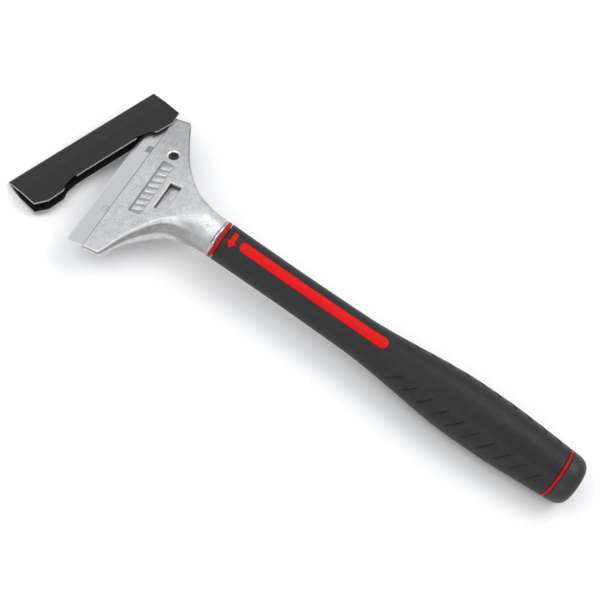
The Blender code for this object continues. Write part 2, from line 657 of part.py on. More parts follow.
def draw_rod(twist, finish):
    """The rod that the handle turns: threaded in front, grooved for its clip and drilled for its pin."""
    start, end = CLIP_GROOVE
    tip = ROD[0] + SCREW_POINT
    profile = [(ROD[0], 0.0), (ROD[0], THREAD_RADIUS - SCREW_POINT), (tip, THREAD_RADIUS)]
    profile += [(THREAD_END, THREAD_RADIUS), (THREAD_END, ROD_RADIUS), (start, ROD_RADIUS)]
    profile += [(start, CLIP_GROOVE_RADIUS), (end, CLIP_GROOVE_RADIUS), (end, ROD_RADIUS)]
    profile += [(ROD[1] - EDGE, ROD_RADIUS), (ROD[1], ROD_RADIUS - EDGE), (ROD[1], 0.0)]
    rod = solid("draw_rod", turned_solid(profile, 24), twist, finish)
    boolean(rod, solid("cut_rod_pin_hole", pin_hole(), twist))
    return rod


def rod_cross_pin(twist, finish):
    pin = cylinder(-PIN_HALF_LENGTH, PIN_HALF_LENGTH, PIN_RADIUS, 12)
    pin.transform(Matrix.Rotation(math.pi / 2.0, 4, "Z"))
    made = solid("rod_cross_pin", pin, twist, finish)
    made.location = (PIN_STATION, 0.0, 0.0)


def rod_clip(twist, finish):
    """The open retaining ring in the rod's groove, in front of the neck bush."""
    clip = solid("rod_clip", tube(*CLIP, *CLIP_RADII, count=24), twist, finish)
    half = CLIP_MOUTH_HALF_WIDTH
    mouth = box((CLIP[0] - CLEAR, -half, -FAR), (CLIP[1] + CLEAR, half, -half / 2.0))
    boolean(clip, solid("cut_clip_mouth", mouth, twist))


def end_cap(twist, finish):
    """The domed cap behind the rear ring, with a plug that goes into the core."""
    start = CORE_END + GAP
    profile = [(CAP_PLUG_START, 0.0), (CAP_PLUG_START, CAP_PLUG_RADIUS - EDGE)]
    profile += [(CAP_PLUG_START + EDGE, CAP_PLUG_RADIUS), (start, CAP_PLUG_RADIUS), (start, REAR_RING_RADIUS)]
    profile += [(s * MM, r * MM) for s, r in CAP_DOME]
    profile += [(CAP_END, CAP_FLAT_RADIUS), (CAP_END, 0.0)]
    return solid("end_cap", turned_solid(profile), twist, finish)


def neck_parts(handle, finishes):
    bush = tube(*BUSH, ROD_RADIUS + GAP, BUSH_RADIUS, EDGE, 24)
    solid("neck_bush", bush, handle, finishes["bronze"])
    washer = tube(*WASHER, *WASHER_RADII, count=24)
    solid("wave_washer", washer, handle, finishes["steel"])


def handle_parts(twist, finishes):
    collar = tube(*COLLAR, ROD_RADIUS + GAP, NECK_RADIUS, EDGE)
    solid("thrust_collar", collar, twist, finishes["bright"])
    draw_rod(twist, finishes["steel"])
    rod_clip(twist, finishes["spring"])
    rod_cross_pin(twist, finishes["steel"])
    handle_core(twist, finishes["red"])
    grip_overmould(twist, finishes["rubber"])
    end_cap(twist, finishes["black"])


def head_parts(head, handle, finishes):
    head_casting(head, handle, finishes["cast"])
    base_cover(head, finishes["plate"])
    cover_screws(head, finishes["bright"])
    guide_screw(head, finishes["spring"])
    guide_sleeve(head, finishes["bronze"])
    clamp_jaw(head, handle, finishes["plate"])
    blade(head, finishes["blade"])
    blade_guard(head, finishes["guard"])


def main():
    clear_scene()
    finishes = {
        "cast": material("cast_metal", (0.56, 0.56, 0.57), 0.42, 0.9),
        "plate": material("plated_steel", (0.62, 0.62, 0.63), 0.35, 1.0),
        "bright": material("bright_steel", (0.72, 0.72, 0.73), 0.2, 1.0),
        "steel": material("turned_steel", (0.5, 0.5, 0.52), 0.3, 1.0),
        "spring": material("black_oxide_steel", (0.03, 0.03, 0.035), 0.4, 0.8),
        "bronze": material("bearing_bronze", (0.55, 0.36, 0.14), 0.35, 1.0),
        "blade": material("blade_steel", (0.68, 0.69, 0.71), 0.25, 1.0),
        "guard": material("guard_plastic", (0.035, 0.036, 0.038), 0.4, 0.0),
        "red": material("red_plastic", (0.72, 0.015, 0.02), 0.35, 0.0),
        "rubber": material("grip_rubber", (0.028, 0.027, 0.028), 0.5, 0.0),
        "black": material("cap_plastic", (0.025, 0.025, 0.026), 0.45, 0.0),
    }
    head = empty("head_frame", None, LIP_CENTRE, (0.0, -HEAD_SLOPE, 0.0))
    handle = empty("handle_frame", head, AXIS_START, (0.0, BEND, 0.0))
    twist = empty("twist_frame", handle, (0.0, 0.0, 0.0), (CLAMPED_TWIST, 0.0, 0.0))
    head_parts(head, handle, finishes)
    neck_parts(handle, finishes)
    handle_parts(twist, finishes)


main()
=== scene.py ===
"""The looks of a floor scraper: cast head, blade, blade guard and a long rubber grip, on a pale floor.

Every piece is drawn in one of three frames that the joints give. The head's frame has X running back to the
handle, Y along the lip and Z out of the flat top face, with its origin at the middle of the lip. The
handle's has X along its axis. The guard's is the head's, swung round a point beside the blade's far end.
Lengths in the tables are millimetres.
"""

import json
import math

import bmesh
import bpy
import numpy as np
from mathutils import Matrix, Vector

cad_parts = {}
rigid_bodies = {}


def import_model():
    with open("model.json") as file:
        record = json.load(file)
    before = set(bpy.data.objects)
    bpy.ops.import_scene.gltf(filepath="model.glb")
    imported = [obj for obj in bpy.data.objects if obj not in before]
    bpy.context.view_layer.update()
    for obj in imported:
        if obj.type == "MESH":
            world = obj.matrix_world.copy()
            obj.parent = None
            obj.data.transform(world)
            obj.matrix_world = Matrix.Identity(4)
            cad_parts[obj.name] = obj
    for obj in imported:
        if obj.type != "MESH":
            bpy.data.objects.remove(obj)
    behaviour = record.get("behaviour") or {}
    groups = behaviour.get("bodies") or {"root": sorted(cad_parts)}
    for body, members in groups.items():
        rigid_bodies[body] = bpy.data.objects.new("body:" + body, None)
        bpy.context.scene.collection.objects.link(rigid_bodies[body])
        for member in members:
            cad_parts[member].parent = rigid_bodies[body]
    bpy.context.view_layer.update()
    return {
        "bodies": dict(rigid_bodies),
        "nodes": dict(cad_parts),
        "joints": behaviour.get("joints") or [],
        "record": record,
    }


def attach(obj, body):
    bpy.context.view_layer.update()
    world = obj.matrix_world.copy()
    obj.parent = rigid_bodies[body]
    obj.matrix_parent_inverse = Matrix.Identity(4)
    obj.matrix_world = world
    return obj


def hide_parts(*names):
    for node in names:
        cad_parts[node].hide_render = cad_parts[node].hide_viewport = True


MM = 0.001

# The camera looks at a point on the tool, from a direction as on a globe, and is rolled about its view.
CAMERA_TARGET = Vector((-7.875, -4.234, 14.7)) * MM
CAMERA_DISTANCE = 1.210
CAMERA_AZIMUTH = math.radians(-2.73)
CAMERA_ELEVATION = math.radians(53.98)
CAMERA_ROLL = math.radians(35.84)
CAMERA_LENS = 131.8

# Where the frames lie from one another.
BEND = math.radians(21.3)
AXIS_START = Vector((18.1, 0.0, -3.6)) * MM
CLAMPED_TWIST = math.radians(13.8)
GUARD_SWING = math.radians(-21.0)
GUARD_PIVOT = Vector((19.9, 75.4, -1.6)) * MM

# Head casting: for each station its X and Z, half width, height above and depth below, how far it has
# turned to the handle's axis, the radius of its top rim, how deep the hollow under the rim is, how far the
# foot below the hollow stands out, and how round the whole section is.
HEAD_STATIONS = (
    (0.0, -1.6, 53.1, 1.6, 1.7, 0.0, 0.3, 0.0, 0.0, 0.0),
    (7.4, -1.7, 53.6, 1.7, 1.9, 0.0, 0.35, 0.0, 0.0, 0.0),
    (8.6, -1.8, 53.8, 1.8, 2.1, 0.0, 0.4, 0.1, 0.0, 0.0),
    (9.4, -1.85, 53.4, 1.85, 2.3, 0.0, 0.45, 0.2, 0.1, 0.0),
    (10.1, -1.9, 52.3, 1.9, 2.5, 0.0, 0.5, 0.3, 0.3, 0.0),
    (12.3, -2.2, 46.9, 2.2, 3.6, 0.0, 0.6, 0.45, 0.3, 0.0),
    (15.1, -2.6, 40.3, 2.6, 5.0, 0.0, 0.7, 0.6, 0.3, 0.0),
    (18.2, -3.2, 33.9, 3.2, 6.6, 0.0, 0.8, 0.8, 0.3, 0.0),
    (21.6, -3.9, 28.1, 3.9, 8.2, 0.0, 1.0, 1.0, 0.2, 0.0),
    (25.2, -4.5, 22.8, 4.5, 10.2, 0.0, 1.3, 1.2, 0.2, 0.05),
    (29.4, -5.5, 18.2, 5.5, 12.0, 0.05, 1.9, 1.3, 0.1, 0.18),
    (34.0, -7.6, 15.0, 7.6, 12.8, 0.2, 2.8, 1.2, 0.1, 0.4),
    (39.2, -10.6, 12.9, 9.9, 13.0, 0.45, 3.6, 0.8, 0.0, 0.68),
    (44.4, -13.6, 11.6, 11.2, 12.2, 0.75, 4.2, 0.3, 0.0, 0.9),
    (49.0, -15.7, 11.2, 11.2, 11.4, 1.0, 4.5, 0.0, 0.0, 1.0),
    (52.85, -17.2, 11.2, 11.2, 11.2, 1.0, 4.5, 0.0, 0.0, 1.0),
)
# How far the middle of each section lies towards the far end, by station.
HEAD_SHIFT = ((0.0, 1.4), (10.0, 1.4), (16.0, 2.6), (26.0, 2.4), (40.0, 0.0), (60.0, 0.0))
HEAD_STEP = 0.6
# Along a section's side, as a share of its height: where the hollow ends and where the foot comes out. Then
# the numbers of the points where a section turns, and their angles in a round section.
HOLLOW_END = 0.62
FOOT_RAMP = (0.35, 0.7)
SECTION_MARKS = (0, 6, 13, 34, 39, 45)
SECTION_TURNS = np.radians((0.0, 34.0, 58.0, 122.0, 148.0, 180.0))
CAST_VOXEL = 0.2 * MM
TOP_WALL = 2.0
LIP_THICKNESS = 0.9
SLOT_HALF_WIDTH = 51.1
BLADE_ROOM = ((-2.0, -SLOT_HALF_WIDTH, -2.5), (8.6, SLOT_HALF_WIDTH, -LIP_THICKNESS))
ROOM_HALF_OUTLINE = ((-2.0, 51.0), (7.2, 51.0), (11.6, 40.6), (17.6, 26.8), (20.1, 10.4), (33.5, 10.4))
ROOM_HEIGHTS = (-6.2, -TOP_WALL)
MOUTH_HALF_OUTLINE = ((-2.0, 51.0), (7.2, 51.0), (10.9, 42.0), (10.9, 0.5))
MOUTH_HEIGHTS = (-12.0, -3.0)
BOSS_ROOM = ((19.5, -7.6, -30.0), (37.5, 7.6, -TOP_WALL - 0.01))
NECK_BORE = ((18.0, 0.0), (18.0, 6.5), (35.7, 6.5), (35.7, 8.6), (45.0, 8.6), (45.0, 0.0))
PANEL = ((9.4, -18.5), (17.0, 22.5))
PANEL_DEPTHS = (0.65, 0.28)
RIB_COUNT = 8
RIB_PITCH = 4.7
RIB_WIDTH = 2.4
RIB_LEAN = 0.7
RIB_TOP = -0.1
RIB_FOOT = -1.2
RIB_MARGINS = (1.1, 1.0)
WINDOW = ((20.5, -10.3), (27.8, 10.3))
WINDOW_DEPTH = 2.9
WINDOW_FLARE = 0.28
GUIDE_HOLE = (12.6, 28.7)
GUIDE_BORE_RADIUS = 3.05
GUIDE_RIM_RADIUS = 3.62
GUIDE_CHAMFER = 0.5
GUIDE_BORE_DEPTH = 1.35
GUIDE_SHANK_RADIUS = 1.8
GUIDE_HEAD_SEAT = -1.05
COVER_STATIONS = ((10.6, 33.0), (14.0, 33.0), (22.0, 20.5), (30.0, 13.2), (37.6, 8.6))
COVER_BEND = (14.0, -6.6)
COVER_FRONT_SLOPE = 0.26
COVER_SLOPE = 0.656
COVER_THICKNESS = 1.4
COVER_GAP = 0.3
COVER_EDGE = 0.35
COVER_SCREWS = {
    "front_left": (20.5, -15.0),
    "front_right": (20.5, 15.0),
    "rear_left": (29.6, -10.2),
    "rear_right": (29.6, 10.2),
}
# Screws: head radius and height, shank radius and length, and the socket's size.
COVER_SCREW_SIZE = (2.5, 1.4, 1.2, 6.0, 1.1)
GUIDE_SCREW_SIZE = (2.75, 0.85, 1.5, 4.9, 1.25)
SCREW_TURN = Matrix.Rotation(math.atan(COVER_SLOPE) - math.radians(90.0), 4, "Y")
DOWN = Matrix.Rotation(math.radians(90.0), 4, "Y")
SCREW_HOLE_RADIUS = 1.5
SCREW_HOLE_DEPTH = 6.6
# Where a cutter starts outside what it cuts, and where one ends beyond it.
BEFORE = -4.0
BEYOND = 12.0

# Blade.
BLADE_HALF_LENGTH = 50.8
BLADE_FRONT = -10.2
BLADE_BACK = 8.3
BLADE_TOP = -1.2
BLADE_BOTTOM = -2.0
BLADE_GRIND = 1.6
BLADE_CORNER = 0.3
BLADE_EDGE_HALF_THICKNESS = 0.05
BLADE_SLOTS = (-22.6, 27.4)
BLADE_SLOT_SIZE = (5.9, 5.2)
BLADE_SLOT_CORNER = 0.8

# Clamp jaw: the thin slider, the stem under the window and the pad on it.
JAW_HALF_OUTLINE = ((0.6, 50.4), (5.6, 50.4), (10.0, 40.0), (16.0, 26.0), (18.5, 9.8))
JAW_HEIGHTS = (-3.6, -2.3)
STEM = ((14.0, -9.8, -4.9), (31.0, 9.8, -3.1))
PAD = ((21.9, -9.7, -3.4), (27.2, 8.2, -2.4))
BOSS = ((10.0, -7.0, -5.6), (17.0, 7.0, 5.0))
THREAD_BORE = ((9.5, 0.0), (9.5, 3.3), (25.0, 3.3), (25.0, 0.0))
GUIDE_SLOT = (-4.1, 2.8)
GUIDE_SLOT_HALF_WIDTH = 2.55
PAD_MARKS = (-1.2, -0.2)
PAD_MARK_STATIONS = (24.2, 25.6)
PAD_MARK_WIDTH = 0.45
PAD_MARK_DEPTH = 0.2

# Guard: the outer faces of its two walls, as distance from the fold and height, the hollow's front end, and
# the rear edge, as distance from the middle of the length and depth. Beside the wings the upper wall's edge
# steps in.
GUARD_FRONT = -13.9
GUARD_HALF_LENGTH = 51.9
GUARD_WALL = 1.1
GUARD_TOP = ((0.0, -0.15), (0.8, 0.4), (10.4, 1.43), (27.0, 1.57))
GUARD_BOTTOM = ((0.0, -1.1), (0.8, -1.75), (9.8, -5.7), (27.0, -7.15))
GUARD_INNER_NOSE = ((1.8, -0.75), (1.8, -1.25))
GUARD_EDGE = ((0.0, 21.2), (22.0, 21.2), (30.0, 22.6), (33.5, 24.9), (44.5, 25.4), (52.0, 22.0))
GUARD_STEP = ((21.4, 0.0), (22.4, 1.4), (31.0, 1.4), (32.4, 0.0))

# Handle, by station along its axis.
NECK_RADIUS = 11.2
COLLAR = (37.6, 39.1)
CORE_FRONT = 39.4
FRONT_RING_END = 41.8
REAR_RING = (265.3, 267.2)
REAR_RING_RADIUS = 15.4
CORE_RADIUS = 8.6
CORE_BORE_RADIUS = 4.3
CORE_SOCKET = (251.7, 7.9)
CORE_HOLE = (79.0, 2.5)
RING_EDGE = 0.3
MARK_FOOT = -3.2
MARK_TOP = -0.04
MARK_EDGES = {"stripe": 0.22, "arrow": 0.18}
# The cap's outer face: a running number, the station and the radius.
CAP_START = 267.5
CAP_PLUG = (252.2, 7.6)
CAP_LINE = (
    (0.0, 267.9, 15.3), (1.0, 271.5, 15.15), (2.0, 274.8, 14.45), (3.0, 277.2, 13.05), (4.0, 278.7, 10.9),
    (5.0, 279.28, 8.4),
)
GRIP_PROFILE = (
    (42.1, 11.2), (60.0, 11.1), (80.0, 11.05), (100.0, 11.15), (118.0, 11.4), (134.0, 11.7),
    (146.0, 12.4), (156.0, 13.35), (166.0, 14.4), (176.0, 15.5), (187.0, 16.5), (198.0, 17.3),
    (210.0, 17.58), (222.0, 17.58), (234.0, 17.25), (246.0, 16.6), (256.0, 16.0), (265.0, 15.5),
)
RUBBER = 2.4
GRIP_SIDES = 240
GRIP_STEPS = (1.6, 0.33)
GRIP_END_EDGES = ((0.0, 0.5), (0.15, 0.12))
STRIPE = (51.4, 148.6)
STRIPE_WIDTH = 6.4
ARROW_STATION = 46.8
ARROW = ((0.0, -5.4), (3.1, -1.2), (1.5, -1.2), (1.5, 5.0), (-1.5, 5.0), (-1.5, -1.2), (-3.1, -1.2))
MARK_GAP = 0.12
OPENING_HEIGHTS = (-4.0, 3.0)
WRAP_RADIUS = 11.1
WRAP_STEPS = (2.0, 0.45)
NICK_COUNT = 10
NICK_START = 161.0
NICK_PITCH = 10.45
NICK_ANGLE = math.radians(58.0)
NICK_HALF_SPAN = math.radians(19.0)
NICK_LEAN = 4.2
NICK_HALF_WIDTH = 1.1
NICK_DEPTH = 0.9


# Frames.


def tool_frames(joints):
    """The head's, handle's and guard's frames at rest, worked out from the joints' axes and pivots."""
    by_name = {joint["name"]: joint for joint in joints}
    back = -Vector(by_name["blade_slide"]["axis"])
    up = Vector(by_name["guard_swing"]["axis"])
    pivot = Vector(by_name["guard_swing"]["pos_m"])
    turned = Matrix((back, up.cross(back), up)).transposed()
    head = Matrix.Translation(pivot - turned @ GUARD_PIVOT) @ turned.to_4x4()
    handle = head @ Matrix.Translation(AXIS_START) @ Matrix.Rotation(BEND, 4, "Y")
    swing = Matrix.Rotation(GUARD_SWING, 4, "Z") @ Matrix.Translation(-GUARD_PIVOT)
    return {
        "head": head,
        "handle": handle,
        "twist": handle @ Matrix.Rotation(CLAMPED_TWIST, 4, "X"),
        "guard": head @ Matrix.Translation(GUARD_PIVOT) @ swing,
    }


# Materials.


def add_node(tree, kind, inputs=(), **settings):
    node = tree.nodes.new(kind)
    for name, value in settings.items():
        setattr(node, name, value)
    for name, value in dict(inputs).items():
        node.inputs[name].default_value = value
    return node


def new_material(name, colour, roughness, metallic=0.0, **sockets):
    made = bpy.data.materials.new(name)
    made.use_nodes = True
    made.diffuse_color = (*colour, 1.0)
    shader = made.node_tree.nodes["Principled BSDF"]
    shader.inputs["Base Color"].default_value = (*colour, 1.0)
    shader.inputs["Roughness"].default_value = roughness
    shader.inputs["Metallic"].default_value = metallic
    for socket, value in sockets.items():
        shader.inputs[socket.replace("_", " ")].default_value = value
    return made


def noise(tree, scale, detail=3.0, stretch=(1.0, 1.0, 1.0)):
    """Noise over the piece's own coordinates. The scale is in cells a metre."""
    place = add_node(tree, "ShaderNodeTexCoord")
    mapping = add_node(tree, "ShaderNodeMapping", {"Scale": stretch})
    tree.links.new(place.outputs["Object"], mapping.inputs["Vector"])
    made = add_node(tree, "ShaderNodeTexNoise", {"Scale": scale, "Detail": detail})
    tree.links.new(mapping.outputs["Vector"], made.inputs["Vector"])
    return made.outputs["Fac"]


def ramp(tree, source, stops):
    """A ramp of greys or colours: stops are (place, colour)."""
    made = add_node(tree, "ShaderNodeValToRGB")
    elements = made.color_ramp.elements
    while len(elements) < len(stops):
        elements.new(1.0)
    for element, (place, colour) in zip(elements, stops):
        element.position = place
        element.color = (*colour, 1.0)
    tree.links.new(source, made.inputs["Fac"])
    return made.outputs["Color"]


def grey_ramp(tree, source, low, high, start=0.3, end=0.7):
    return ramp(tree, source, ((start, (low,) * 3), (end, (high,) * 3)))


def blended(tree, factor, first, second, mode="MIX"):
    """Two colours mixed by a factor, each of them a colour or another node's output."""
    made = add_node(tree, "ShaderNodeMix", data_type="RGBA", blend_type=mode)
    factor_place, first_place, second_place = 0, 6, 7
    for place, value in ((factor_place, factor), (first_place, first), (second_place, second)):
        socket = made.inputs[place]
        if isinstance(value, bpy.types.NodeSocket):
            tree.links.new(value, socket)
        elif place == factor_place:
            socket.default_value = value
        else:
            socket.default_value = (*value, 1.0)
    return made.outputs[2]


def set_colour(material, output):
    tree = material.node_tree
    tree.links.new(output, tree.nodes["Principled BSDF"].inputs["Base Color"])


def set_roughness(material, output):
    tree = material.node_tree
    tree.links.new(output, tree.nodes["Principled BSDF"].inputs["Roughness"])


def set_bumps(material, layers):
    """Bump from several heights, each (height, strength, distance in millimetres)."""
    tree = material.node_tree
    before = None
    for height, strength, distance in layers:
        bump = add_node(tree, "ShaderNodeBump", {"Strength": strength, "Distance": distance * MM})
        tree.links.new(height, bump.inputs["Height"])
        if before:
            tree.links.new(before, bump.inputs["Normal"])
        before = bump.outputs["Normal"]
    tree.links.new(before, tree.nodes["Principled BSDF"].inputs["Normal"])


def vary_colour(material, scale, detail, low, high):
    """Two greys over a noise."""
    tree = material.node_tree
    set_colour(material, grey_ramp(tree, noise(tree, scale, detail), low, high))


def vary_roughness(material, scale, detail, low, high):
    tree = material.node_tree
    set_roughness(material, grey_ramp(tree, noise(tree, scale, detail), low, high))


def add_grain(material, scale, strength, distance):
    """A bump over one fine noise."""
    set_bumps(material, ((noise(material.node_tree, scale, 2.0), strength, distance),))


def attribute(tree, name):
    return add_node(tree, "ShaderNodeAttribute", attribute_name=name).outputs["Fac"]


def cast_metal():
    """Tumbled alloy, finely speckled. Its colour also carries painted light: painted shade, a near-black
    grey, mixed in by the hollow attribute, and a painted highlight, a near-white grey, mixed in by a second
    attribute, which also makes those places glossier.
    """
    made = new_material("cast_metal", (0.6, 0.6, 0.6), 0.44, 0.9)
    tree = made.node_tree
    blotches = grey_ramp(tree, noise(tree, 300.0, 4.0), 0.62, 0.77, 0.3, 0.72)
    grains = grey_ramp(tree, noise(tree, 1900.0, 3.0), 0.66, 1.0, 0.34, 0.54)
    face = blended(tree, 1.0, blotches, grains, "MULTIPLY")
    # Painted shade: a near-black grey mixed in by the hollow attribute.
    hollow = blended(tree, attribute(tree, "hollow"), face, (0.12, 0.12, 0.122))
    # Painted highlight: a near-white grey mixed in along rims and the guide hole's chamfer.
    set_colour(made, blended(tree, attribute(tree, "painted_highlight"), hollow, (0.86, 0.86, 0.86)))
    set_roughness(made, grey_ramp(tree, attribute(tree, "painted_highlight"), 0.5, 0.3, 0.0, 1.0))
    set_bumps(made, ((noise(tree, 700.0, 3.0), 0.25, 0.1), (noise(tree, 2200.0, 3.0), 0.7, 0.05)))
    return made


def plated_steel(name, shade):
    """Zinc plate of a given brightness."""
    made = new_material(name, (shade,) * 3, 0.34, 1.0)
    vary_colour(made, 420.0, 4.0, 0.9 * shade, 1.1 * shade)
    vary_roughness(made, 900.0, 3.0, 0.28, 0.42)
    add_grain(made, 1500.0, 0.25, 0.03)
    return made


def bright_steel():
    made = new_material("bright_steel", (0.48, 0.48, 0.48), 0.2, 1.0)
    vary_roughness(made, 700.0, 3.0, 0.14, 0.28)
    add_grain(made, 3000.0, 0.15, 0.02)
    return made


def turned_steel():
    made = new_material("turned_steel", (0.55, 0.55, 0.57), 0.3, 1.0)
    tree = made.node_tree
    lathe = noise(tree, 500.0, 2.0, (12.0, 1.0, 1.0))
    set_roughness(made, grey_ramp(tree, lathe, 0.24, 0.4))
    set_bumps(made, ((lathe, 0.3, 0.03),))
    return made


def black_steel():
    made = new_material("black_steel", (0.018, 0.018, 0.02), 0.36, 0.6)
    vary_colour(made, 1500.0, 3.0, 0.012, 0.04)
    vary_roughness(made, 800.0, 3.0, 0.3, 0.48)
    return made


def bronze():
    made = new_material("bronze", (0.55, 0.36, 0.15), 0.36, 1.0)
    tree = made.node_tree
    worn = noise(tree, 800.0, 3.0)
    set_colour(made, ramp(tree, worn, ((0.3, (0.42, 0.26, 0.1)), (0.7, (0.62, 0.42, 0.19)))))
    set_bumps(made, ((worn, 0.2, 0.03),))
    return made


def blade_steel():
    """Ground strip steel, with fine scratches along its length and a brighter ground edge."""
    made = new_material("blade_steel", (0.7, 0.71, 0.72), 0.3, 1.0)
    tree = made.node_tree
    scratches = noise(tree, 1600.0, 3.0, (1.0, 0.05, 1.0))
    face = grey_ramp(tree, scratches, 0.69, 0.73)
    set_colour(made, blended(tree, attribute(tree, "ground"), face, (0.86, 0.87, 0.88)))
    set_roughness(made, grey_ramp(tree, scratches, 0.29, 0.34))
    set_bumps(made, ((scratches, 0.05, 0.01),))
    return made


def guard_plastic(name, shade):
    """Black polypropylene with a fine moulded grain."""
    made = new_material(name, (shade,) * 3, 0.34, 0.0, Specular_IOR_Level=0.4)
    vary_colour(made, 300.0, 4.0, 0.85 * shade, 1.15 * shade)
    vary_roughness(made, 1200.0, 3.0, 0.32, 0.44)
    add_grain(made, 2200.0, 0.2, 0.03)
    return made


def red_plastic(name, colour, roughness):
    made = new_material(name, colour, roughness, 0.0, Specular_IOR_Level=0.12)
    tree = made.node_tree
    deep = tuple(0.9 * part for part in colour)
    set_colour(made, ramp(tree, noise(tree, 350.0, 3.0), ((0.3, deep), (0.7, colour))))
    add_grain(made, 1800.0, 0.15, 0.03)
    return made


def grip_rubber():
    """Soft black rubber with a fine spark-eroded grain."""
    made = new_material("grip_rubber", (0.01, 0.01, 0.0105), 0.46, 0.0, Specular_IOR_Level=0.3)
    vary_colour(made, 240.0, 4.0, 0.008, 0.012)
    vary_roughness(made, 700.0, 3.0, 0.42, 0.54)
    add_grain(made, 2400.0, 0.3, 0.04)
    return made


def cap_plastic():
    made = new_material("cap_plastic", (0.013, 0.013, 0.013), 0.42, 0.0, Specular_IOR_Level=0.4)
    vary_colour(made, 260.0, 4.0, 0.011, 0.016)
    vary_roughness(made, 900.0, 3.0, 0.38, 0.5)
    add_grain(made, 2600.0, 0.3, 0.04)
    return made


# Mesh tools.


def smooth_rows(rows, places):
    """The rows' other columns at new places along the first one, on curves that never overshoot."""
    table = np.array(rows, float)
    x, y = table[:, 0], table[:, 1:]
    width = np.diff(x)[:, None]
    slope = np.diff(y, axis=0) / width
    product = np.maximum(slope[1:] * slope[:-1], 0.0)
    total = slope[1:] + slope[:-1]
    inner = 2.0 * product / np.where(total == 0.0, 1.0, total)
    tangent = np.vstack([slope[:1], inner, slope[-1:]])
    places = np.clip(places, x[0], x[-1])
    i = np.clip(np.searchsorted(x, places) - 1, 0, len(x) - 2)
    t = ((places - x[i]) / width[i, 0])[:, None]
    start = (1.0 + 2.0 * t) * (1.0 - t) ** 2 * y[i] + t * (1.0 - t) ** 2 * width[i] * tangent[i]
    end = t**2 * (3.0 - 2.0 * t) * y[i + 1] - t**2 * (1.0 - t) * width[i] * tangent[i + 1]
    return start + end


def eased(values, start, end):
    """0 before start, 1 after end, and a smooth step in between."""
    t = np.clip((np.asarray(values, float) - start) / (end - start), 0.0, 1.0)
    return t * t * (3.0 - 2.0 * t)


def new_object(name, data):
    obj = bpy.data.objects.new(name, data)
    bpy.context.scene.collection.objects.link(obj)
    return obj


def mesh_object(name, points, faces):
    mesh = bpy.data.meshes.new(name)
    mesh.from_pydata([tuple(point) for point in points], [], faces)
    made = bmesh.new()
    made.from_mesh(mesh)
    bmesh.ops.recalc_face_normals(made, faces=made.faces)
    made.to_mesh(mesh)
    made.free()
    return new_object(name, mesh)


def skin(name, rings, closed=True):
    """An object over rings of points. Its ends are capped, or if not closed the rings meet end to end."""
    rings = np.array(rings, float)
    index = np.arange(rings.shape[0] * rings.shape[1]).reshape(rings.shape[:2])
    near = index[:-1] if closed else index
    far = index[1:] if closed else np.roll(index, -1, 0)
    quads = np.stack([near, np.roll(near, -1, 1), np.roll(far, -1, 1), far], -1)
    faces = quads.reshape(-1, 4).tolist()
    if closed:
        faces += [index[0].tolist(), index[-1].tolist()]
    return mesh_object(name, rings.reshape(-1, 3) * MM, faces)


def block(name, low, high):
    corners = ((low[0], low[1]), (high[0], low[1]), (high[0], high[1]), (low[0], high[1]))
    return plate(name, corners, low[2], high[2])


def plate(name, outline, low, high):
    return skin(name, [[(x, y, z) for x, y in outline] for z in (low, high)])


def mirrored(half_outline):
    return list(half_outline) + [(x, -y) for x, y in reversed(half_outline)]


def lathe(name, profile, count=64, loop=False):
    """A turned shape about X. The profile runs from axis to axis, or with loop it is a closed line."""
    angles = np.linspace(0.0, 2.0 * math.pi, count, endpoint=False)
    if loop:
        rings = [[(s, r * math.sin(a), r * math.cos(a)) for s, r in profile] for a in angles]
        return skin(name, rings, closed=False)
    tiny = 0.02
    line = [(s, max(r, tiny)) for s, r in profile]
    rings = [[(s, r * math.sin(a), r * math.cos(a)) for a in angles] for s, r in line]
    return skin(name, rings)


def corner(centre, radius, start, end, steps=5):
    """Points on an arc, for rounding a profile. Angles are in degrees from the axis."""
    turns = np.radians(np.linspace(start, end, steps))
    return [(centre[0] + radius * math.cos(a), centre[1] + radius * math.sin(a)) for a in turns]


def tube_profile(start, end, inner, outer, edge):
    """The closed profile of a ring with rounded edges."""
    profile = corner((start + edge, inner + edge), edge, 270.0, 180.0)
    profile += corner((start + edge, outer - edge), edge, 180.0, 90.0)
    profile += corner((end - edge, outer - edge), edge, 90.0, 0.0)
    return profile + corner((end - edge, inner + edge), edge, 0.0, -90.0)


def settle(obj):
    """Turns the object's modifiers into its own mesh."""
    graph = bpy.context.evaluated_depsgraph_get()
    mesh = bpy.data.meshes.new_from_object(obj.evaluated_get(graph))
    obj.modifiers.clear()
    obj.data = mesh
    return obj


def combine(obj, others, operation="DIFFERENCE", solver="EXACT"):
    """Cuts the others out of the object, or joins them to it. The others are used up."""
    for other in others:
        modifier = obj.modifiers.new(other.name, "BOOLEAN")
        modifier.operation = operation
        modifier.solver = solver
        modifier.object = other
        settle(obj)
        bpy.data.objects.remove(other, do_unlink=True)
    return obj


def soften(obj, width, segments=3, limit=35.0):
    """Rounds every edge sharper than a limit in degrees."""
    modifier = obj.modifiers.new("edges", "BEVEL")
    modifier.width = width * MM
    modifier.segments = segments
    modifier.limit_method = "ANGLE"
    modifier.angle_limit = math.radians(limit)
    return settle(obj)


def place(obj, matrix):
    obj.data.transform(matrix)
    return obj


def finish_piece(obj, frame, body, nodes, materials, angle=40.0):
    """Lays a piece in the tool's frame, shades it, and ties it to its body, finish and CAD nodes."""
    obj.data.transform(frame)
    obj.data.materials.clear()
    for material in materials:
        obj.data.materials.append(material)
    obj.data.shade_smooth()
    obj.data.set_sharp_from_angle(angle=math.radians(angle))
    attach(obj, body)
    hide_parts(*nodes)


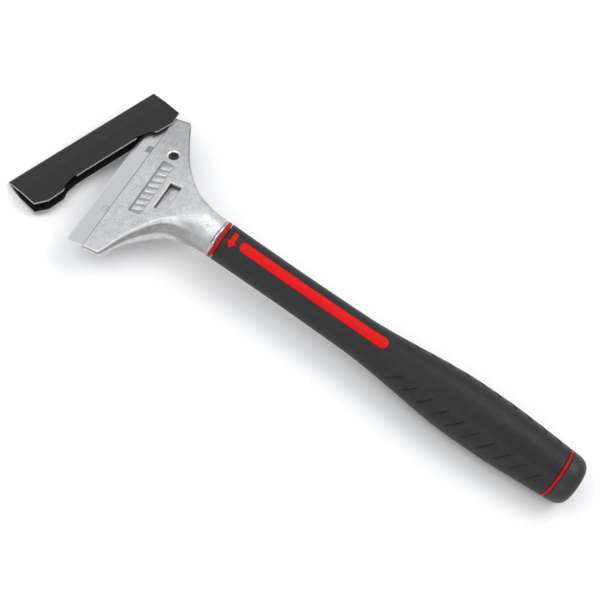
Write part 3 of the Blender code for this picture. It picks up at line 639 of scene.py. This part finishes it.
def second_finish(obj, frame, chosen, steepest=1.0):
    """Gives a finished piece's second material to the faces whose corners, in millimetres, all pass a test.

    The faces whose normals have a larger Z than the steepest, in the frame given, are left out.
    """
    to_local = frame.inverted()
    turn = to_local.to_3x3()
    passed = [chosen(to_local @ vertex.co / MM) for vertex in obj.data.vertices]
    for polygon in obj.data.polygons:
        corners_pass = all(passed[corner_index] for corner_index in polygon.vertices)
        polygon.material_index = int(corners_pass and abs((turn @ polygon.normal).z) <= steepest)


def coordinates(obj):
    points = np.empty(len(obj.data.vertices) * 3, np.float32)
    obj.data.vertices.foreach_get("co", points)
    return points.reshape(-1, 3) / MM


def store(obj, name, values):
    made = obj.data.attributes.new(name, "FLOAT", "POINT")
    made.data.foreach_set("value", np.asarray(values, np.float32))


# Head.


def head_half_section(row):
    """Half of one head section, from the middle of the top face round to the middle of the underside."""
    _, _, half_width, above, below, _, rim, hollow, foot, roundness = row
    foot_radius = 0.35 * (rim + 0.6)
    outer = half_width + foot
    flat = [(t * (half_width - rim), above) for t in np.linspace(0.0, 1.0, 7)]
    flat += corner((half_width - rim, above - rim), rim, 90.0, 0.0, 8)[1:]
    low, high = -below + foot_radius, above - rim
    for t in np.linspace(0.0, 1.0, 22)[1:]:
        dip = hollow * math.sin(math.pi * min(t / HOLLOW_END, 1.0)) ** 2
        flat.append((half_width + foot * float(eased(t, *FOOT_RAMP)) - dip, high + (low - high) * t))
    flat += corner((outer - foot_radius, low), foot_radius, 0.0, -90.0, 6)[1:]
    flat += [(t * (outer - foot_radius), -below) for t in np.linspace(1.0, 0.0, 7)[1:]]
    turns = np.interp(np.arange(len(flat)), SECTION_MARKS, SECTION_TURNS)
    section = []
    for (across, height), turn in zip(flat, turns):
        reach = above if turn < math.pi / 2.0 else below
        oval = (half_width * math.sin(turn), reach * math.cos(turn))
        section.append((across + (oval[0] - across) * roundness, height + (oval[1] - height) * roundness))
    return section


def head_shift(places):
    return smooth_rows(HEAD_SHIFT, np.asarray(places, float))[:, 0]


def head_ring(row):
    x, z, turn = row[0], row[1], row[5]
    half = head_half_section(row)
    whole = half + [(-across, height) for across, height in half[-2:0:-1]]
    tilt = turn * BEND
    shift = float(head_shift([x])[0])
    return [(x + h * math.sin(tilt), shift + across, z + h * math.cos(tilt)) for across, h in whole]


def head_body():
    last = HEAD_STATIONS[-1][0]
    places = np.linspace(0.0, last, round(last / HEAD_STEP) + 1)
    rows = smooth_rows(HEAD_STATIONS, places)
    return skin("head_casting_shell", [head_ring((x, *row)) for x, row in zip(places, rows)])


def cover_outer(x):
    bend_x, bend_z = COVER_BEND
    return bend_z + max(bend_x - x, 0.0) * COVER_FRONT_SLOPE - max(x - bend_x, 0.0) * COVER_SLOPE


def cover_block(name, margin, drop):
    """The cover plate's shape, grown by a margin, and with a drop carried down through everything below."""
    rings = []
    for x, half_width in COVER_STATIONS:
        top = cover_outer(x) + COVER_THICKNESS + margin
        low = cover_outer(x) - drop
        shift = float(head_shift([x])[0])
        near, far = shift - half_width - margin, shift + half_width + margin
        rings.append([(x, near, low), (x, far, low), (x, far, top), (x, near, top)])
    rings[0] = [(x - margin, y, z) for x, y, z in rings[0]]
    rings[-1] = [(x + margin, y, z) for x, y, z in rings[-1]]
    return skin(name, rings)


def cover_screw_places():
    """Each cover screw's name and where its axis meets the cover's outer face."""
    for name, (x, y) in COVER_SCREWS.items():
        yield name, (x, y + float(head_shift([x])[0]), cover_outer(x))


def panel_cutter():
    """The recess in the top face. Its floor is deep at the front and runs out towards the window."""
    (x0, y0), (x1, y1) = PANEL
    front, back = PANEL_DEPTHS
    rings = [[(x0, y, -front), (x1, y, -back), (x1, y, 2.0), (x0, y, 2.0)] for y in (y0, y1)]
    return skin("cut_panel", rings)


def panel_ribs():
    """Plain raised ribs, leaning a little, across the recess."""
    (x0, y0), (x1, y1) = PANEL
    middle, half = (y0 + y1) / 2.0, RIB_WIDTH / 2.0
    for i in range(RIB_COUNT):
        y = middle + (i - (RIB_COUNT - 1) / 2.0) * RIB_PITCH
        front, back = x0 + RIB_MARGINS[0], x1 - RIB_MARGINS[1]
        near, far = y - RIB_LEAN, y + RIB_LEAN
        outline = ((front, near - half), (back, far - half), (back, far + half), (front, near + half))
        yield plate(f"rib_{i}", outline, RIB_FOOT, RIB_TOP)


def turned_hole(name, profile, where, matrix=DOWN):
    """A turned cutter whose axis runs down from the top face, or along X of a given matrix."""
    return place(lathe(name, profile, 48), Matrix.Translation(Vector(where) * MM) @ matrix)


def window_cutter():
    """The window, its rim opened out a little at the top face."""
    (x0, y0), (x1, y1) = WINDOW
    rings = []
    levels = ((-WINDOW_DEPTH, 0.0), (-WINDOW_FLARE, 0.0), (0.0, WINDOW_FLARE), (TOP_WALL, WINDOW_FLARE))
    for height, grow in levels:
        front, back, near, far = x0 - grow, x1 + grow, y0 - grow, y1 + grow
        corners = ((front, near), (back, near), (back, far), (front, far))
        rings.append([(x, y, height) for x, y in corners])
    return skin("cut_window", rings)


def screw_holes(name, depth):
    """A cutter for each cover screw's hole."""
    radius = SCREW_HOLE_RADIUS
    profile = ((BEFORE, 0.0), (BEFORE, radius), (depth, radius), (depth, 0.0))
    for place_name, where in cover_screw_places():
        yield turned_hole(f"cut_{name}_{place_name}", profile, where, SCREW_TURN)


def head_cutters(to_handle):
    """Everything that is machined into the casting: seats, the rooms inside, the bores and the window."""
    yield cover_block("cut_cover_seat", COVER_GAP, 40.0)
    yield plate("cut_jaw_room", mirrored(ROOM_HALF_OUTLINE), *ROOM_HEIGHTS)
    yield plate("cut_jaw_mouth", mirrored(MOUTH_HALF_OUTLINE), *MOUTH_HEIGHTS)
    yield block("cut_blade_slot", *BLADE_ROOM)
    yield block("cut_boss_room", *BOSS_ROOM)
    yield place(lathe("cut_neck_bore", NECK_BORE), to_handle)
    yield window_cutter()
    rim, deep, shank = GUIDE_RIM_RADIUS, GUIDE_BORE_RADIUS, GUIDE_SHANK_RADIUS
    guide = [(-1.0, 0.0), (-1.0, rim), (0.0, rim), (GUIDE_CHAMFER, deep), (GUIDE_BORE_DEPTH, deep)]
    guide += [(GUIDE_BORE_DEPTH, shank), (BEYOND, shank), (BEYOND, 0.0)]
    yield turned_hole("cut_guide_bore", guide, (*GUIDE_HOLE, 0.0))
    yield from screw_holes("screw", SCREW_HOLE_DEPTH)


def remesh(obj, voxel, smoothing):
    """Gives a shape the even, slightly rounded skin of a casting."""
    modifier = obj.modifiers.new("skin", "REMESH")
    modifier.mode = "VOXEL"
    modifier.voxel_size = voxel
    modifier.use_smooth_shade = True
    smooth = obj.modifiers.new("smooth", "SMOOTH")
    smooth.factor = 0.5
    smooth.iterations = smoothing
    settle(obj)


def join(obj, others):
    """Adds the others' meshes to the object's. The others are used up."""
    made = bmesh.new()
    made.from_mesh(obj.data)
    for other in others:
        made.from_mesh(other.data)
        bpy.data.objects.remove(other, do_unlink=True)
    made.to_mesh(obj.data)
    made.free()


def window_gap(x, y):
    """How far a place is outside the window's outline, or inside it if negative."""
    (x0, y0), (x1, y1) = WINDOW
    return np.maximum(np.maximum(x0 - x, x - x1), np.maximum(y0 - y, y - y1))


def panel_painted_shade(x, y, z):
    """The recess's painted shade: a dark line where its floor meets the front and end walls, and a fainter
    darkening over everything deeper than the top face, its floor and the ribs' sides.
    """
    (x0, y0), (x1, y1) = PANEL
    gap = np.minimum(x - x0, np.minimum(y1 - y, y - y0))
    deep = eased(-z, 0.14, 0.35)
    line = 0.85 * deep * (1.0 - eased(gap, 0.25, 0.75))
    within = (gap > -0.7) & (x < x1 + 0.5) & (z > -1.0)
    return np.where(within, np.maximum(line, 0.42 * deep), 0.0)


def head_painted_light(obj):
    """Where painted shade darkens the casting's colour, and where painted highlights brighten it."""
    x, y, z = coordinates(obj).T
    rows = smooth_rows(HEAD_STATIONS, x)
    centre, half_width, above, below, tilt = (rows[:, i] for i in (0, 1, 2, 3, 4))
    height = (z - centre) * np.cos(tilt * BEND)
    share = (above - height) / (above + below)
    across = y - head_shift(x)
    side = eased(np.abs(across) / half_width, 0.8, 0.95)
    band = eased(share, 0.12, 0.25) * (1.0 - eased(share, 0.55, 0.7))
    # Painted shade: the band under the top rim, along both sides.
    hollow = 0.6 * side * band * (1.0 - eased(x, 42.0, 52.0))
    # Painted shade: a dark line along the lip's front edge.
    lip = 0.7 * (1.0 - eased(x, 0.25, 0.7))
    # Painted shade: the face darker towards its far end.
    painted_shade_gradient = 0.28 * eased(across, 5.0, 45.0)
    outwards = half_width - across
    # Painted shade: a dark outline along the far edge.
    painted_far_edge_shade = 0.5 * (1.0 - eased(outwards, 1.3, 2.3)) + 0.4 * (1.0 - eased(outwards, 0.2, 0.7))
    painted_far_edge_shade *= 1.0 - eased(x, 40.0, 48.0)
    # Painted shade: the neck's sides darker.
    painted_neck_shade = 0.5 * eased(np.abs(across) / half_width, 0.45, 0.9) * eased(x, 33.0, 43.0)
    gap = window_gap(x, y)
    # Painted shadow on the window's walls, and painted shade inside the casting's rooms.
    shadow = 0.7 * (gap < 0.05) * eased(-z, 0.5, 0.9)
    inside = 0.9 * eased(-z, 1.2, 1.6) * (np.abs(across) < half_width - 1.2) * (x < 33.0)
    # Painted highlights: a line along the near rim, a ring on the guide hole's chamfer and a line round the
    # window's rim.
    painted_rim_highlight = side * (1.0 - eased(np.abs(share - 0.04), 0.02, 0.08)) * (1.0 - eased(x, 30.0, 46.0))
    reach = np.hypot(x - GUIDE_HOLE[0], y - GUIDE_HOLE[1])
    painted_chamfer_highlight = (1.0 - eased(np.abs(reach - 3.34), 0.32, 0.5)) * eased(z, -0.75, -0.5)
    rim = (1.0 - eased(np.abs(gap - 0.1), 0.2, 0.35)) * eased(z, -0.5, -0.3)
    # All the painted shades, the strongest at each point, stored as the hollow attribute.
    painted_shades = (hollow, lip, painted_shade_gradient, painted_far_edge_shade, painted_neck_shade, shadow, inside, panel_painted_shade(x, y, z))
    store(obj, "hollow", np.clip(np.maximum.reduce(painted_shades), 0.0, 1.0))
    # All the painted highlights, the strongest at each point.
    bright = (0.35 * painted_rim_highlight * (across < 0.0), 0.8 * painted_chamfer_highlight, 0.6 * rim)
    store(obj, "painted_highlight", np.clip(np.maximum.reduce(bright), 0.0, 1.0))


def head_casting(frames, materials):
    """The cast shape takes an even skin first, and then its machined holes and seats, which stay sharp."""
    obj = head_body()
    combine(obj, [panel_cutter()])
    join(obj, panel_ribs())
    remesh(obj, CAST_VOXEL, 3)
    combine(obj, head_cutters(frames["head"].inverted() @ frames["handle"]), solver="MANIFOLD")
    head_painted_light(obj)
    finish_piece(obj, frames["head"], "head", ["head_casting"], [materials["cast"]], 38.0)


def base_cover(frames, materials):
    """The plate under the head, with rounded edges and a hole for each screw."""
    obj = cover_block("base_cover_plate", 0.0, 0.0)
    shank = GUIDE_SHANK_RADIUS
    guide = ((1.0, 0.0), (1.0, shank), (BEYOND, shank), (BEYOND, 0.0))
    combine(obj, screw_holes("cover", -BEFORE))
    combine(obj, [turned_hole("cut_cover_guide", guide, (*GUIDE_HOLE, 0.0))])
    soften(obj, COVER_EDGE)
    finish_piece(obj, frames["head"], "head", ["base_cover"], [materials["plate"]])


def socket_screw(name, head_radius, head_height, shank_radius, shank_length, socket):
    """A low button-head screw along X, its head at -X, with a hexagon socket and a pointed thread end."""
    crown = 0.35 * head_height
    dome = [(-head_height + crown * t * t, head_radius * t * 0.9) for t in np.linspace(0.0, 1.0, 8)]
    edge = [(-head_height + crown + 0.12, head_radius * 0.97), (-head_height + crown + 0.3, head_radius)]
    profile = dome + edge + [(-0.15, head_radius), (0.0, head_radius - 0.15), (0.0, shank_radius)]
    thread = np.arange(0.3, shank_length - 0.6, 0.25)
    profile += [(s, shank_radius - 0.14 * (i % 2)) for i, s in enumerate(thread)]
    profile += [(shank_length, shank_radius * 0.7), (shank_length, 0.0)]
    obj = lathe(name, profile, 48)
    mouth, bottom = -head_height - 1.0, -head_height * 0.35
    drive = lathe(f"cut_{name}", ((mouth, 0.0), (mouth, socket), (bottom, socket), (bottom, 0.0)), 6)
    return combine(obj, [drive])


def screws(frames, materials):
    outwards = SCREW_TURN.to_3x3() @ Vector((-COVER_GAP, 0.0, 0.0))
    for name, where in cover_screw_places():
        obj = socket_screw(f"{name}_screw", *COVER_SCREW_SIZE)
        place(obj, Matrix.Translation((Vector(where) + outwards) * MM) @ SCREW_TURN)
        node = f"cover_screw_{name}"
        finish_piece(obj, frames["head"], "head", [node], [materials["bright"]])
    obj = socket_screw("guide_screw_black", *GUIDE_SCREW_SIZE)
    place(obj, Matrix.Translation(Vector((*GUIDE_HOLE, GUIDE_HEAD_SEAT)) * MM) @ DOWN)
    finish_piece(obj, frames["head"], "head", ["guide_screw"], [materials["black_steel"]])


def blade_ring(grind, z):
    """The blade's outline at one level, its long edges moved in by what is ground away there."""
    front, back = BLADE_FRONT + grind, BLADE_BACK - grind
    radius = BLADE_CORNER if grind else BLADE_GRIND
    end = BLADE_HALF_LENGTH - (0.02 if grind else 0.0)
    ring = []
    for x, y, start in ((back, end, 0.0), (front, end, 90.0), (front, -end, 180.0), (back, -end, 270.0)):
        inwards = -1.0 if x == back else 1.0
        centre = (x + inwards * radius, y - math.copysign(radius, y))
        ring += corner(centre, radius, start, start + 90.0, 6)
    return [(x, y, z) for x, y in ring]


def blade(frames, materials):
    """A double-edged blade: flat faces, a ground bevel along both edges, round corners and two slots."""
    middle = (BLADE_TOP + BLADE_BOTTOM) / 2.0
    thin = BLADE_EDGE_HALF_THICKNESS
    grinds = (BLADE_GRIND, 0.0, 0.0, BLADE_GRIND)
    levels = (BLADE_BOTTOM, middle - thin, middle + thin, BLADE_TOP)
    obj = skin("blade_steel_strip", [blade_ring(grind, z) for grind, z in zip(grinds, levels)])
    centre = (BLADE_FRONT + BLADE_BACK) / 2.0
    half_x, half_y = (size / 2.0 for size in BLADE_SLOT_SIZE)
    slots = []
    for i, y in enumerate(BLADE_SLOTS):
        low, high = (centre - half_x, y - half_y, BEFORE), (centre + half_x, y + half_y, -BEFORE)
        slot = block(f"cut_slot_{i}", low, high)
        slots.append(soften(slot, BLADE_SLOT_CORNER, 4))
    combine(obj, slots)
    x = coordinates(obj)[:, 0]
    ground = 1.0 - eased(np.minimum(x - BLADE_FRONT, BLADE_BACK - x), 0.2, BLADE_GRIND - 0.1)
    store(obj, "ground", ground)
    finish_piece(obj, frames["head"], "cutter", ["blade"], [materials["blade"]], 12.0)


def clamp_jaw(frames, materials):
    """The jaw under the blade, the stem and pad that show in the window, and the boss on the rod."""
    to_handle = frames["head"].inverted() @ frames["handle"]
    obj = plate("clamp_jaw_slider", mirrored(JAW_HALF_OUTLINE), *JAW_HEIGHTS)
    boss = place(block("boss", *BOSS), to_handle)
    combine(obj, [block("stem", *STEM), block("pad", *PAD), boss], "UNION")
    x, y = GUIDE_HOLE
    low = (x + GUIDE_SLOT[0], y - GUIDE_SLOT_HALF_WIDTH, -6.0)
    high = (x + GUIDE_SLOT[1], y + GUIDE_SLOT_HALF_WIDTH, -1.0)
    slot = soften(block("slot", low, high), GUIDE_SLOT_HALF_WIDTH - 0.1, 6)
    front, back = PAD_MARK_STATIONS
    marks = []
    for i, start in enumerate(PAD_MARKS):
        end, top = start + PAD_MARK_WIDTH, PAD[1][2]
        marks.append(block(f"mark_{i}", (front, start, top - PAD_MARK_DEPTH), (back, end, top + 0.4)))
    combine(obj, [place(lathe("bore", THREAD_BORE, 48), to_handle), slot, *marks])
    soften(obj, 0.2, 2)
    # The stem's faces below the pad, seen down the window, take a dark copy of the plate: painted shade.
    finishes = [materials["plate"], materials["painted_shade_plate"]]
    finish_piece(obj, frames["head"], "clamp", ["clamp_jaw"], finishes)
    second_finish(obj, frames["head"], lambda spot: spot.x > STEM[0][0] and spot.z < PAD[1][2] - 0.3)


# Guard.


def guard_depth(distance):
    """How deep the guard is at a distance from the middle of its length, with the corners eased."""
    reach = np.clip(np.linspace(distance - 1.2, distance + 1.2, 7), 0.0, GUARD_EDGE[-1][0])
    table = np.array(GUARD_EDGE)
    return float(np.interp(reach, table[:, 0], table[:, 1]).mean())


def guard_section(y):
    """The two walls and the fold between them, before the rear edge is cut to shape."""
    *_, crease_top, rear_top = GUARD_TOP
    *_, crease_bottom, rear_bottom = GUARD_BOTTOM
    upper, lower = GUARD_INNER_NOSE
    inner = [(x, z + GUARD_WALL) for x, z in (rear_bottom, crease_bottom)] + [lower]
    inner += [upper] + [(x, z - GUARD_WALL) for x, z in (crease_top, rear_top)]
    return [(GUARD_FRONT + x, y, z) for x, z in [*GUARD_TOP[::-1], *GUARD_BOTTOM, *inner]]


def guard_rear_cutter():
    """What lies behind the rear edge of both walls."""
    places = np.linspace(-GUARD_EDGE[-1][0] - 1.0, GUARD_EDGE[-1][0] + 1.0, 109)
    outline = [(GUARD_FRONT + guard_depth(abs(y)), y) for y in places]
    far = GUARD_FRONT + 2.0 * GUARD_TOP[-1][0]
    return plate("cut_guard_rear", [*outline, (far, places[-1]), (far, places[0])], -14.0, 6.0)


def guard_steps():
    """The short steps in the upper wall's rear edge, where the middle runs out into the wings."""
    far = GUARD_FRONT + GUARD_TOP[-1][0] + 2.0
    for side in (-1.0, 1.0):
        edge = [(GUARD_FRONT + guard_depth(y) - step, side * y) for y, step in GUARD_STEP]
        outline = [*edge, (far, edge[-1][1]), (far, edge[0][1])]
        yield plate(f"step_{side:.0f}", outline, -2.0, 6.0)


def at_guard_edge(spot):
    """Whether a place is on the guard's cut edges, at its two ends or along its rear."""
    reach, margin = abs(spot.y), 0.25
    return reach > GUARD_HALF_LENGTH - margin or spot.x - GUARD_FRONT > guard_depth(reach) - margin


def blade_guard(frames, materials):
    """The folded sheath that slips over the blade, deeper at its two ends."""
    obj = skin("blade_guard_sheath", [guard_section(y) for y in (-GUARD_HALF_LENGTH, GUARD_HALF_LENGTH)])
    combine(obj, [guard_rear_cutter(), *guard_steps()])
    soften(obj, 0.2, 3, 24.0)
    # The edges, at both ends and along the rear, take a pale grey copy of the plastic: painted highlight.
    finishes = [materials["guard"], materials["guard_painted_highlight"]]
    finish_piece(obj, frames["guard"], "guard", ["blade_guard"], finishes, 5.0)
    second_finish(obj, frames["guard"], at_guard_edge, 0.8)


# Handle.


def grip_radius(stations):
    return smooth_rows(GRIP_PROFILE, np.asarray(stations, float))[:, 0]


def nick_depth(stations, angle):
    """How deep the nicks along both sides of the grip are, at one angle round it."""
    offset = abs(angle) - NICK_ANGLE
    along = abs(offset) / NICK_HALF_SPAN
    if along >= 1.0:
        return np.zeros_like(stations)
    centre = NICK_START - offset / NICK_HALF_SPAN * NICK_LEAN
    number = np.clip(np.round((stations - centre) / NICK_PITCH), 0, NICK_COUNT - 1)
    across = np.abs(stations - centre - number * NICK_PITCH) / NICK_HALF_WIDTH
    width = np.clip(1.0 - across**2, 0.0, 1.0)
    return NICK_DEPTH * width**1.5 * float(1.0 - eased(along, 0.55, 1.0))


def grip_stations():
    nicked = NICK_START - NICK_PITCH / 2.0
    coarse, fine = GRIP_STEPS
    front = np.arange(GRIP_PROFILE[0][0] + 0.6, nicked, coarse)
    return np.concatenate([front, np.arange(nicked, GRIP_PROFILE[-1][0] - 0.5, fine)])


def grip_overmould(frames, materials):
    """The rubber: waisted, swelling towards the butt, nicked along both sides, open over the red marks."""
    stations = grip_stations()
    start, end = GRIP_PROFILE[0][0], GRIP_PROFILE[-1][0]
    radii = grip_radius(stations)
    back = np.linspace(end, start, 40)
    inner = grip_radius(back) - RUBBER
    rings = []
    for angle in np.linspace(-math.pi, math.pi, GRIP_SIDES, endpoint=False):
        outer = radii - nick_depth(stations, angle)
        line = [(start + along, radii[0] - drop) for along, drop in GRIP_END_EDGES]
        line += list(zip(stations, outer))
        line += [(end - along, radii[-1] - drop) for along, drop in GRIP_END_EDGES[::-1]]
        line += list(zip(back, inner))
        rings.append([(s, r * math.sin(angle), r * math.cos(angle)) for s, r in line])
    obj = skin("grip_rubber_sleeve", rings, closed=False)
    openings = [
        wrapped_block("stripe_opening", stripe_outline(MARK_GAP), *OPENING_HEIGHTS),
        wrapped_block("arrow_opening", grown(ARROW, MARK_GAP, ARROW_STATION), *OPENING_HEIGHTS),
    ]
    combine(obj, openings, solver="MANIFOLD")
    finish_piece(obj, frames["twist"], "handle", ["grip_overmould"], [materials["rubber"]])


def stripe_outline(margin):
    half = STRIPE_WIDTH / 2.0
    front = corner((STRIPE[0] + half, 0.0), half + margin, 90.0, 270.0, 17)
    return front + corner((STRIPE[1] - half, 0.0), half + margin, -90.0, 90.0, 17)


def grown(outline, amount, station):
    """An outline about a station, each of its sides moved outwards."""
    points = [Vector(point) for point in outline]
    moved = []
    for before, point, after in zip(points[-1:] + points[:-1], points, points[1:] + points[:1]):
        first, second = (point - before).normalized(), (after - point).normalized()
        normals = (Vector((first.y, -first.x)), Vector((second.y, -second.x)))
        middle = (normals[0] + normals[1]).normalized()
        shifted = point + middle * amount / middle.dot(normals[0])
        moved.append((station + shifted.x, shifted.y))
    return moved


def wrapped_block(name, outline, low, high, edge=0.0):
    """A block with an outline of (station, arc length), bent round the grip. Heights are from the grip."""
    obj = plate(name, outline, low, high)
    made = bmesh.new()
    made.from_mesh(obj.data)
    if edge:
        top = [e for e in made.edges if all(v.co.z > (high - 0.01) * MM for v in e.verts)]
        bmesh.ops.bevel(made, geom=top, offset=edge * MM, segments=3, affect="EDGES", profile=0.5)
    stations = [s for s, _ in outline]
    arcs = [a for _, a in outline]
    along, around = WRAP_STEPS
    across_cuts = np.arange(min(stations) + along, max(stations), along)
    length_cuts = np.arange(min(arcs) + around, max(arcs), around)
    cuts = [((s, 0.0, 0.0), (1.0, 0.0, 0.0)) for s in across_cuts]
    cuts += [((0.0, a, 0.0), (0.0, 1.0, 0.0)) for a in length_cuts]
    for point, normal in cuts:
        geometry = [*made.verts, *made.edges, *made.faces]
        bmesh.ops.bisect_plane(made, geom=geometry, plane_co=Vector(point) * MM, plane_no=normal, dist=1e-7)
    for vertex in made.verts:
        station, arc, height = vertex.co / MM
        radius = float(grip_radius([station])[0]) + height
        turn = arc / WRAP_RADIUS
        vertex.co = Vector((station, radius * math.sin(turn), radius * math.cos(turn))) * MM
    bmesh.ops.recalc_face_normals(made, faces=made.faces)
    made.to_mesh(obj.data)
    made.free()
    return obj


def handle_core(frames, materials):
    """The red moulding: both rings, and the stripe and arrow that stand up through the rubber."""
    ring = FRONT_RING_END
    edge = RING_EDGE
    profile = [(CORE_FRONT, CORE_BORE_RADIUS)]
    profile += corner((CORE_FRONT + edge, NECK_RADIUS - edge), edge, 180.0, 90.0)
    profile += corner((ring - 0.25, NECK_RADIUS - 0.25), 0.25, 90.0, 0.0) + [(ring, CORE_RADIUS)]
    inside = np.linspace(GRIP_PROFILE[0][0] + 1.0, GRIP_PROFILE[-1][0] - 1.0, 60)
    profile += [(s, r - RUBBER - 0.3) for s, r in zip(inside, grip_radius(inside))]
    start, end = REAR_RING
    profile += [(start, CORE_RADIUS + 4.0)]
    profile += corner((start + edge, REAR_RING_RADIUS - edge), edge, 180.0, 90.0)
    profile += corner((end - edge, REAR_RING_RADIUS - edge), edge, 90.0, 0.0)
    profile += [(end, CORE_SOCKET[1]), CORE_SOCKET, (CORE_SOCKET[0], CORE_HOLE[1])]
    profile += [CORE_HOLE, (CORE_HOLE[0], CORE_BORE_RADIUS)]
    obj = lathe("handle_core_red", profile, 128, loop=True)
    marks = [
        wrapped_block(name, outline, MARK_FOOT, MARK_TOP, MARK_EDGES[name])
        for name, outline in (("stripe", stripe_outline(0.0)), ("arrow", grown(ARROW, 0.0, ARROW_STATION)))
    ]
    combine(obj, marks, "UNION", "MANIFOLD")
    # The two rings take a darker copy of the red: painted shade.
    finishes = [materials["red"], materials["ring"]]
    finish_piece(obj, frames["twist"], "handle", ["handle_core"], finishes)
    rings = (CORE_FRONT - 1.0, FRONT_RING_END + 0.6), (REAR_RING[0] - 1.0, REAR_RING[1] + 1.0)
    second_finish(obj, frames["twist"], lambda spot: any(low < spot.x < high for low, high in rings))


def thrust_collar(frames, materials):
    """The bright ring between the neck and the handle, its edges well rounded."""
    profile = tube_profile(*COLLAR, CORE_BORE_RADIUS, NECK_RADIUS - 0.02, 0.42)
    obj = lathe("thrust_collar_ring", profile, 96, loop=True)
    finish_piece(obj, frames["twist"], "handle", ["thrust_collar"], [materials["bright"]])


def end_cap(frames, materials):
    """The domed cap, with its plug hidden in the core."""
    plug_start, plug_radius = CAP_PLUG
    profile = [(plug_start, 0.0), (plug_start, plug_radius - 0.4), (plug_start + 0.4, plug_radius)]
    profile += [(CAP_START, plug_radius)]
    profile += corner((CAP_START + 0.3, REAR_RING_RADIUS - 0.4), 0.3, 180.0, 110.0)
    dome = smooth_rows(CAP_LINE, np.linspace(0.0, CAP_LINE[-1][0], 41))
    profile += [(float(station), float(radius)) for station, radius in dome] + [(CAP_LINE[-1][1], 0.0)]
    obj = lathe("end_cap_dome", profile, 128)
    finish_piece(obj, frames["twist"], "handle", ["end_cap"], [materials["cap"]])


def inner_parts(frame, materials):
    """The pieces shut inside keep their CAD shape, with their edges rounded."""
    finishes = {
        "draw_rod": "turned_steel",
        "rod_cross_pin": "turned_steel",
        "wave_washer": "turned_steel",
        "rod_clip": "black_steel",
        "neck_bush": "bronze",
        "guide_sleeve": "bronze",
    }
    for node, finish in finishes.items():
        obj = frame["nodes"][node]
        obj.data.materials.clear()
        obj.data.materials.append(materials[finish])
        bevel = obj.modifiers.new("edges", "BEVEL")
        bevel.width = 0.12 * MM
        bevel.segments = 2
        bevel.limit_method = "ANGLE"


# Stage.


def camera():
    data = bpy.data.cameras.new("camera")
    data.lens = CAMERA_LENS
    data.clip_start = 0.01
    obj = new_object("camera", data)
    level = math.cos(CAMERA_ELEVATION)
    sine, cosine = math.sin(CAMERA_AZIMUTH), math.cos(CAMERA_AZIMUTH)
    back = Vector((sine * level, -cosine * level, math.sin(CAMERA_ELEVATION)))
    right = Vector((cosine, sine, 0.0))
    turned = Matrix((right, back.cross(right), back)).transposed().to_4x4()
    roll = Matrix.Rotation(CAMERA_ROLL, 4, "Z")
    obj.matrix_world = Matrix.Translation(CAMERA_TARGET + back * CAMERA_DISTANCE) @ turned @ roll
    bpy.context.scene.camera = obj


def area_light(name, direction, distance, size, power, stretch=1.0):
    data = bpy.data.lights.new(name, "AREA")
    data.shape = "RECTANGLE"
    data.size = size
    data.size_y = size * stretch
    data.energy = power
    obj = new_object(name, data)
    towards = Vector(direction).normalized()
    obj.location = towards * distance
    obj.rotation_mode = "QUATERNION"
    obj.rotation_quaternion = towards.to_track_quat("Z", "Y")


def studio():
    """A pale floor, a soft sky and three large soft lights."""
    scene = bpy.context.scene
    scene.view_settings.view_transform = "Standard"
    world = bpy.data.worlds.new("sky")
    scene.world = world
    world.use_nodes = True
    world.node_tree.nodes["Background"].inputs["Color"].default_value = (0.97, 0.98, 1.0, 1.0)
    world.node_tree.nodes["Background"].inputs["Strength"].default_value = 0.8
    area_light("key", (-0.55, -0.55, 1.0), 1.6, 1.1, 9.5)
    area_light("top", (0.4, 0.5, 1.2), 1.7, 1.0, 9.0)
    area_light("front", (0.3, -1.0, 0.35), 1.5, 0.9, 2.5, 0.5)
    floor = block("floor", (-3000.0, -3000.0, -1.0), (3000.0, 3000.0, 0.0))
    paper = new_material("paper", (0.86, 0.86, 0.86), 0.8)
    grain = noise(paper.node_tree, 60.0, 2.0)
    set_colour(paper, grey_ramp(paper.node_tree, grain, 0.855, 0.865))
    floor.data.materials.append(paper)


def all_materials():
    return {
        "cast": cast_metal(),
        "plate": plated_steel("plated_steel", 0.68),
        # A dark copy of the plate, for painted shade on the jaw's stem.
        "painted_shade_plate": plated_steel("painted_shade_plated_steel", 0.16),
        "bright": bright_steel(),
        "turned_steel": turned_steel(),
        "black_steel": black_steel(),
        "bronze": bronze(),
        "blade": blade_steel(),
        "guard": guard_plastic("guard_plastic", 0.009),
        # A pale grey copy of the guard's plastic, a painted highlight on its edges.
        "guard_painted_highlight": guard_plastic("guard_painted_edge_highlight", 0.3),
        "red": red_plastic("red_plastic", (0.6, 0.003, 0.004), 0.4),
        # A darker copy of the red plastic, for painted shade on the rings.
        "ring": red_plastic("painted_shade_red_plastic", (0.33, 0.006, 0.012), 0.38),
        "rubber": grip_rubber(),
        "cap": cap_plastic(),
    }


def main():
    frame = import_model()
    frames = tool_frames(frame["joints"])
    materials = all_materials()
    head_casting(frames, materials)
    base_cover(frames, materials)
    screws(frames, materials)
    blade(frames, materials)
    clamp_jaw(frames, materials)
    blade_guard(frames, materials)
    grip_overmould(frames, materials)
    handle_core(frames, materials)
    thrust_collar(frames, materials)
    end_cap(frames, materials)
    inner_parts(frame, materials)
    studio()
    camera()


main()
